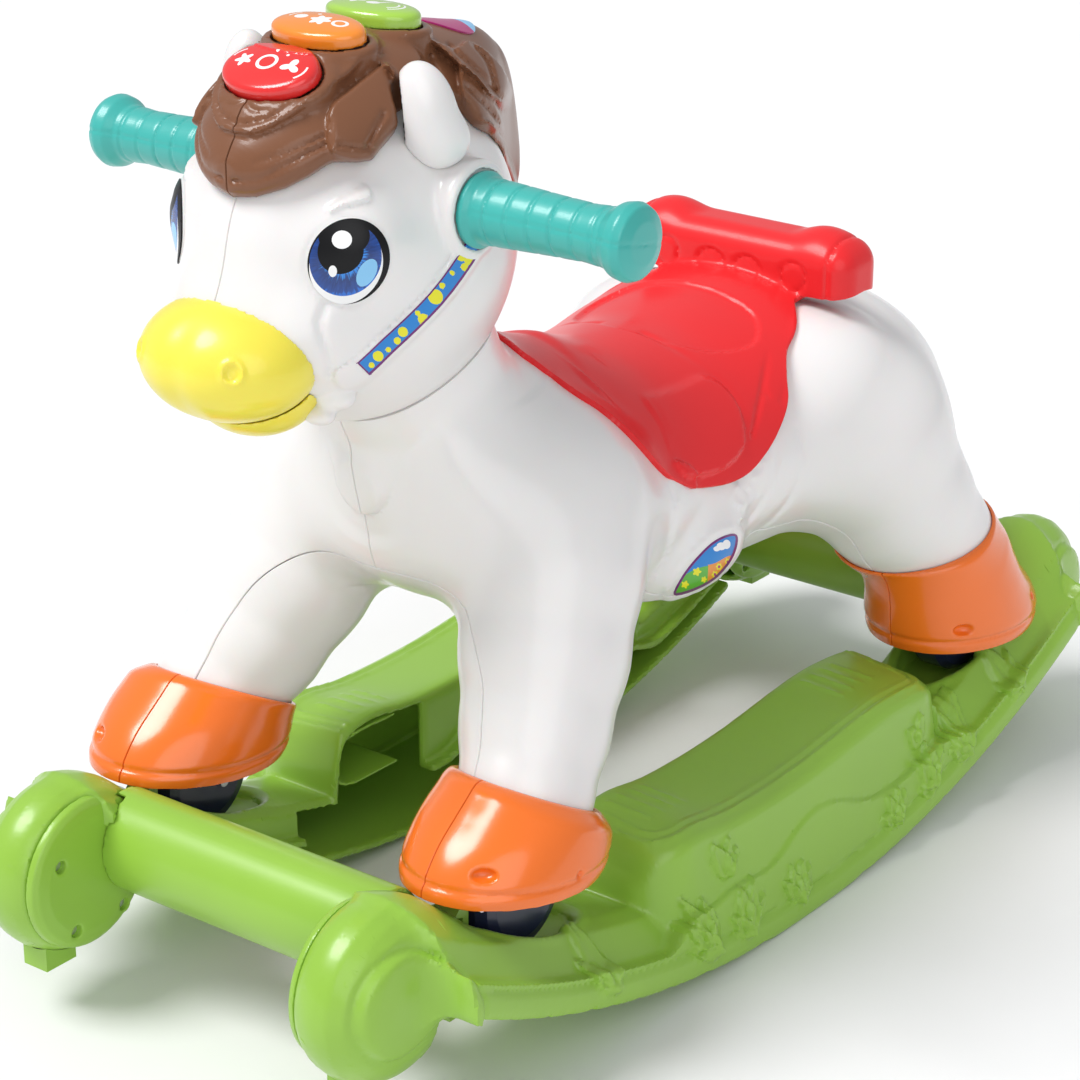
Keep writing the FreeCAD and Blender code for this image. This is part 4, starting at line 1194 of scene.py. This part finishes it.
# ---------------------------------------------------------------- pony: mane
MANE = [(-268, 434, 6, 7), (-262, 435, 22, 15), (-250, 438, 36, 25), (-232, 438, 46, 35),
        (-205, 436, 53, 45), (-180, 434, 54, 50), (-155, 430, 50, 52), (-135, 428, 42, 52),
        (-115, 427, 33, 49), (-98, 424, 23, 48), (-84, 419, 15, 45), (-72, 414, 9, 38),
        (-64, 402, 5, 22), (-61, 396, 3, 10)]
PLATE_SPLIT = -108.0                         # where the plate's colour changes
# Layers of hair in the oblique plane: height, then the outline (across, up).
LAYERS = [
    (3.4, [(-50, 24), (-43, -4), (-38, -7), (-28, -8), (-18, -4), (-8, 2), (-2, 8), (5, 13), (13, 20),
           (18, 27), (21, 31), (8, 30), (-10, 32), (-30, 28)]),
    (2.8, [(4, -2), (4.5, -13), (8, -18), (24, -19), (35, -3), (36, 14), (29, 26), (21, 20), (13, 12),
           (6, 5)]),
    (2.0, [(22, 42), (36, 40), (44, 30), (36, 18), (29, 24), (22, 30)]),
    (4.0, [(46, 42), (58, 40), (64, 46), (76, 40), (83, 30), (78, 17), (68, 25), (60, 30), (52, 37)]),
    (3.0, [(60, 30), (69, 25), (78, 14), (78, 5), (66, 4), (62, 14)]),
    (2.2, [(64, 6), (78, 4), (86, -12), (87, -26), (81, -18), (74, 0)])]
# Creases between strands in the oblique plane: depth, width, points.
STRANDS = [
    (1.2, 1.1, [(-44, -1), (-38, -3), (-29, -3), (-21, -1), (-8, 7), (4, 17)]),
    (1.0, 0.9, [(-27, 8), (-23, 8.5), (-18, 8)]), (1.0, 1.0, [(-47, 11), (-44, 12)]),
    (1.0, 1.2, [(-36, 14), (-30, 3), (-22, 2)]),
    (1.3, 1.1, [(-38, -28), (-26, -28), (-14, -22), (-3, -16), (3, -13)]),
    (1.0, 1.0, [(-28, -21), (-14, -17), (-3, -12), (3, -9)]),
    (1.2, 1.0, [(5, -3), (5.5, -14)]), (1.0, 1.0, [(9, -13.5), (24, -14.5)]),
    (1.1, 1.1, [(28, 2), (21, -13)]), (1.1, 1.2, [(26, 32), (18, 20), (4, 8), (-6, 0)]),
    (1.0, 1.1, [(30, 22), (34, 8), (34, 0)]), (1.0, 1.2, [(40, 42), (46, 36), (52, 22)]),
    (1.2, 1.2, [(66, 44), (73, 36), (76, 24)]), (1.0, 1.1, [(55, 42), (60, 36), (70, 28), (79, 20)]),
    (1.0, 1.0, [(64, 20), (74, 12), (78, 8)]), (1.0, 1.0, [(72, 4), (80, -10), (84, -22)])]


def hair(p):
    """Height of the locks above the smooth mane."""
    u, w = oblique(p)
    height = 0.0
    for lift, outline in LAYERS:
        height = height + 1.6 * lift * smooth(0.9, -0.9, poly2(spline(outline, 4, True))(u, w))
    for depth, width, points in STRANDS:
        height = height - 1.7 * depth * np.exp(-(chain(u, w, spline(points, 3)) / width) ** 2)
    return height


def mane_edge(p):
    """Distance outside the mane's outline: the fringe seen obliquely, the rest from the side."""
    rear = poly2(spline(MANE_SIDE, 3, True))(p[1], p[2])
    fringe = poly2(FRINGE)(*oblique(p))
    return np.maximum(rear, fringe)


MANE_SIDE = [(-290, 350), (-214, 350), (-210, 400), (-204, 434), (-196, 443), (-190, 456),
             (-176, 462), (-162, 456), (-152, 440), (-140, 424), (-124, 410), (-108, 398),
             (-96, 388), (-84, 378), (-40, 372), (-40, 520), (-290, 520)]
FRINGE = [(-70, -34), (-38, -35), (-28, -35), (-15, -31.5), (-4, -26), (3, -21), (6, -19.5),
          (16.5, -19.5), (22.8, -18), (26.5, -12.5), (31.5, -5.5), (35.5, 0), (38, -2), (42, -60),
          (120, -90), (120, 90), (-70, 90)]


def make_mane():
    box = (-66, -272, 366), (66, -56, 490), 1.3
    field, room = Field(*box), Field(*box)
    field.add(loft(MANE))
    field.raise_by(hair)
    field.keep(mane_edge, 5.0)
    for place in BUTTONS.values():
        field.add(button_bed(*place), 3.0)
    for place in BUTTONS.values():
        field.cut(button_well(*place), 1.0)
    head(room, 0.3)
    field.d = np.maximum(field.d, -room.d)
    field.cut(both(egg(EAR_AT, (15.4, 13.5, 24.8), EAR_TURN)))
    left = solid(field).part(lambda v: -v[:, 0], SEAM, 0.4)
    for side, half in (("_left", left), ("_right", left.mirrored())):
        show("mane_half" + side, half.thick(0.9), [BROWN], ["mane" + side])
    plate = raised(solid(field).part(plate_edge, 0, 0.3), 0.9)
    plate.paint(lambda v: PLATE_SPLIT - v[:, 1], 1)
    show("mane_plate_print", plate.thick(0.8), [PRINT_MAGENTA, PRINT_SKY], ["mane_plate"])


def plate_edge(v):
    """Distance outside the two-coloured plate on the mane's crest."""
    return np.maximum(disc(v[:, 0], v[:, 1], (0, -118), (14, 19)), 455 - v[:, 2])


def button_wall(p, at, tilt, half, grow=0.0):
    """Distance outside a button's oval wall, height above its middle, and place in the oval."""
    x, y, z = turned(p, at, (tilt, 0, 0))
    k = np.sqrt((x / (half[0] + grow)) ** 2 + (y / (half[1] + grow)) ** 2)
    return (k - 1) * half[1], z, k


def button_bed(*place):
    """Raised rim of the mane round a button."""
    def shape(p):
        wall, z, _ = button_wall(p, *place, BED_RIM)
        return -smin(-np.maximum(wall, -20 - z), -(z + 8.6), 3.0)
    return shape


def button_well(*place):
    """Hole in the mane that a button moves in."""
    def shape(p):
        wall, z, _ = button_wall(p, *place, BUTTON_GAP)
        return np.maximum(wall, -14 - z)
    return shape


def star(u, w, at, radius, points=5, depth=0.45, turn=0.0):
    """Distance-like value outside a star in a plane."""
    angle = np.arctan2(w - at[1], u - at[0]) + math.radians(turn)
    reach = radius * (1 - depth * (0.5 - 0.5 * np.cos(points * angle)))
    return np.hypot(u - at[0], w - at[1]) - reach


def arc(u, w, at, radius, width, low, high):
    """Distance-like value outside a curved stroke between two angles in degrees."""
    angle = np.degrees(np.arctan2(w - at[1], u - at[0]))
    away = np.maximum(low - angle, angle - high) * radius * 0.0175
    return np.maximum(np.abs(np.hypot(u - at[0], w - at[1]) - radius) - width, away)


def red_art(u, w):
    return np.minimum.reduce([
        np.abs(disc(u, w, (0, 0), (5.2, 5.2)) + 0.8) - 0.8, star(u, w, (-12.5, -0.5), 4.6, 5, 0.5, 18),
        star(u, w, (12.5, 0.5), 5.0, 3, 0.62, 30), arc(u, w, (-12, 0), 8, 0.45, 120, 170),
        arc(u, w, (-12, 0), 10, 0.45, 150, 180), arc(u, w, (12, 0), 8, 0.45, -45, 20),
        disc(u, w, (0, 8.4), (0.9, 0.9)), disc(u, w, (6.5, 6.8), (0.8, 0.8))])


def orange_art(u, w):
    return np.minimum.reduce([
        star(u, w, (2, 0), 5.4, 6, 0.35), disc(u, w, (-9.5, 1), (3.4, 2.6)),
        np.abs(disc(u, w, (12, 0.6), (4, 3.6)) + 0.7) - 0.7, arc(u, w, (-8, 0), 8, 0.45, 130, 175),
        disc(u, w, (-3.5, 6.5), (1.0, 1.0))])


def green_art(u, w):
    return np.minimum.reduce([
        star(u, w, (-9, 0), 4.8, 4, 0.5), disc(u, w, (1, -1.5), (3.2, 2.4), 20),
        disc(u, w, (4.2, 2.6), (0.55, 5.0), -10), arc(u, w, (8, 0), 5, 0.5, -60, 60),
        arc(u, w, (8, 0), 7.5, 0.5, -55, 55)])


def make_buttons():
    finishes = {"red_button": (BUTTON_RED, red_art), "orange_button": (BUTTON_ORANGE, orange_art),
                "green_button": (BUTTON_GREEN, green_art)}
    for name, (at, tilt, half) in BUTTONS.items():
        field = Field((-30, at[1] - 22, at[2] - 20), (30, at[1] + 22, at[2] + 3), 0.7)

        def cap(p):
            wall, z, k = button_wall(p, at, tilt, half)
            return -smin(-np.maximum(wall, -9 - z), -(z + 2.2 * k ** 2), 3.0)
        field.add(cap)
        finish, art = finishes[name]

        def print_edge(v):
            x, y, z = turned(columns(v), at, (tilt, 0, 0))
            return np.maximum(art(x * 0.92, y * 1.0098), -3.2 - z)
        skin = solid(field).paint(print_edge, 1)
        show(name + "_cap", skin, [finish, PRINT_WHITE], [name])


GRIP = [(71, 0), (71, 17.5), (74, 18), (77, 15.6), (95, 14.8), (115, 13.8), (135, 13.2),
        (147, 14.2), (152, 17.3), (157, 18.2), (161, 16.5), (163, 10), (163.4, 0)]


def make_grips():
    field = Field((66, -199, 390), (165, -157, 432), 0.9)
    field.add(lathe_x(GRIP, *BAR_AT[1:]))
    p = field.near()[1]
    for x in (84, 96, 108, 120, 132, 143):
        field.d = field.d + 0.9 * np.exp(-((p[0] - x) / 0.75) ** 2)
    seam = np.exp(-((p[2] - BAR_AT[2] + 0.2 * (p[1] - BAR_AT[1])) / 0.6) ** 2)
    field.d = field.d + 0.45 * seam * smooth(76, 80, p[0])
    field.cut(drum((100, *BAR_AT[1:]), 7.3, 52))
    show_pair("hand_grip", solid(field), [TEAL], "grip")


EAR_AT, EAR_TURN = (53.5, -194, 456), (0, -12, 37)


def make_ears():
    box = (28, -224, 424), (82, -162, 484), 0.9
    field, room, shade_lining = Field(*box), Field(*box), Field(*box)
    dish_at = [c + d for c, d in zip(EAR_AT, (-10, -7.5, 2))]
    head(room, 0.3)
    field.add(egg(EAR_AT, (14.4, 12.5, 23.8), EAR_TURN))
    field.add(egg((57.5, -189, 444), (13.5, 11.5, 13.5), EAR_TURN), 5.0)
    field.cut(egg(dish_at, (8.5, 8.8, 16), EAR_TURN), 2.0)
    field.d = np.maximum(field.d, -room.d)
    show_pair("ear_shell", solid(field), [WHITE], "ear")
    # black lining in each ear's hollow: painted shade for the dark inside of the ear, in place of the CAD's
    # ear inserts
    shade_lining.add(egg(dish_at, (8.2, 8.5, 15.7), EAR_TURN))
    shade_lining.keep(egg(EAR_AT, (13.4, 11.5, 22.8), EAR_TURN))
    shade_lining.cut(egg([c + d for c, d in zip(dish_at, (-2.5, -2, 1))], (8.5, 8.8, 16), EAR_TURN), 1.0)
    half = solid(shade_lining)
    show("ear_painted_shade", joined(half, half.mirrored()), [BLACK], ["ear_inserts"])


# ---------------------------------------------------------------- CAD pieces that stay
def make_kept():
    """Gives a finish to every CAD piece that still shows."""
    finish = {"green_plastic": GREEN, "white_plastic": WHITE, "orange_plastic": ORANGE,
              "red_plastic": RED, "brown_plastic": BROWN, "yellow_plastic": YELLOW,
              "teal_plastic": TEAL, "wheel_plastic": TYRE, "steel": STEEL, "black_plastic": BLACK,
              "cell": CELL, "dark_insert": BLACK, "eye_print": BLACK, "label_print": BLACK,
              "plate_print": PRINT_MAGENTA, "board": BOARD}
    for name, node in frame["nodes"].items():
        if node.hide_render:
            continue
        node.data.materials.clear()
        node.data.materials.append(finish[NODE_SLOT[name]])


# ---------------------------------------------------------------- floor, light, camera
def make_stage():
    """Pale floor, a broad key light, a softer fill light and a white sky."""
    floor = bpy.data.meshes.new("floor")
    floor.from_pydata([(-4, -4, 0), (4, -4, 0), (4, 4, 0), (-4, 4, 0)], [], [(0, 1, 2, 3)])
    ground = bpy.data.objects.new("floor", floor)
    pale = plastic("floor_pale", (0.86, 0.86, 0.86), 0.6, 0.0, 0.005)
    floor.materials.append(pale)
    bpy.context.scene.collection.objects.link(ground)
    world = bpy.data.worlds.new("studio")
    bpy.context.scene.world = world
    world.use_nodes = True
    world.node_tree.nodes["Background"].inputs["Color"].default_value = (0.95, 0.97, 1.0, 1)
    world.node_tree.nodes["Background"].inputs["Strength"].default_value = 0.52
    for name, place, softness, power in (("key", (-0.45, -0.5, 1.0), 28, 2.5),
                                         ("fill", (0.8, -0.75, 0.55), 50, 0.8)):
        light = bpy.data.lights.new(name, "SUN")
        light.energy, light.angle = power, math.radians(softness)
        lamp = bpy.data.objects.new(name, light)
        lamp.location = place
        lamp.rotation_mode = "QUATERNION"
        lamp.rotation_quaternion = (-Vector(place)).to_track_quat("-Z", "Y")
        bpy.context.scene.collection.objects.link(lamp)


def make_camera():
    """Camera at the left front, a little above."""
    azimuth, elevation, distance = math.radians(37.6), math.radians(22.15), 1.64
    back = Vector((math.sin(azimuth) * math.cos(elevation),
                   -math.cos(azimuth) * math.cos(elevation), math.sin(elevation)))
    data = bpy.data.cameras.new("camera")
    data.sensor_width, data.lens = 36.0, 104.33
    data.clip_start, data.clip_end = 0.05, 20
    camera = bpy.data.objects.new("camera", data)
    camera.location = Vector((0, -0.041, 0.1875)) + back * distance
    camera.rotation_mode = "QUATERNION"
    camera.rotation_quaternion = (-back).to_track_quat("-Z", "Y")
    bpy.context.scene.collection.objects.link(camera)
    bpy.context.scene.camera = camera
    bpy.context.scene.view_settings.view_transform = "Standard"


make_base()
make_body()
make_saddle()
make_hooves()
make_head()
make_eyes()
make_labels()
make_muzzle()
make_mane()
make_buttons()
make_grips()
make_ears()
make_kept()
make_stage()
make_camera()
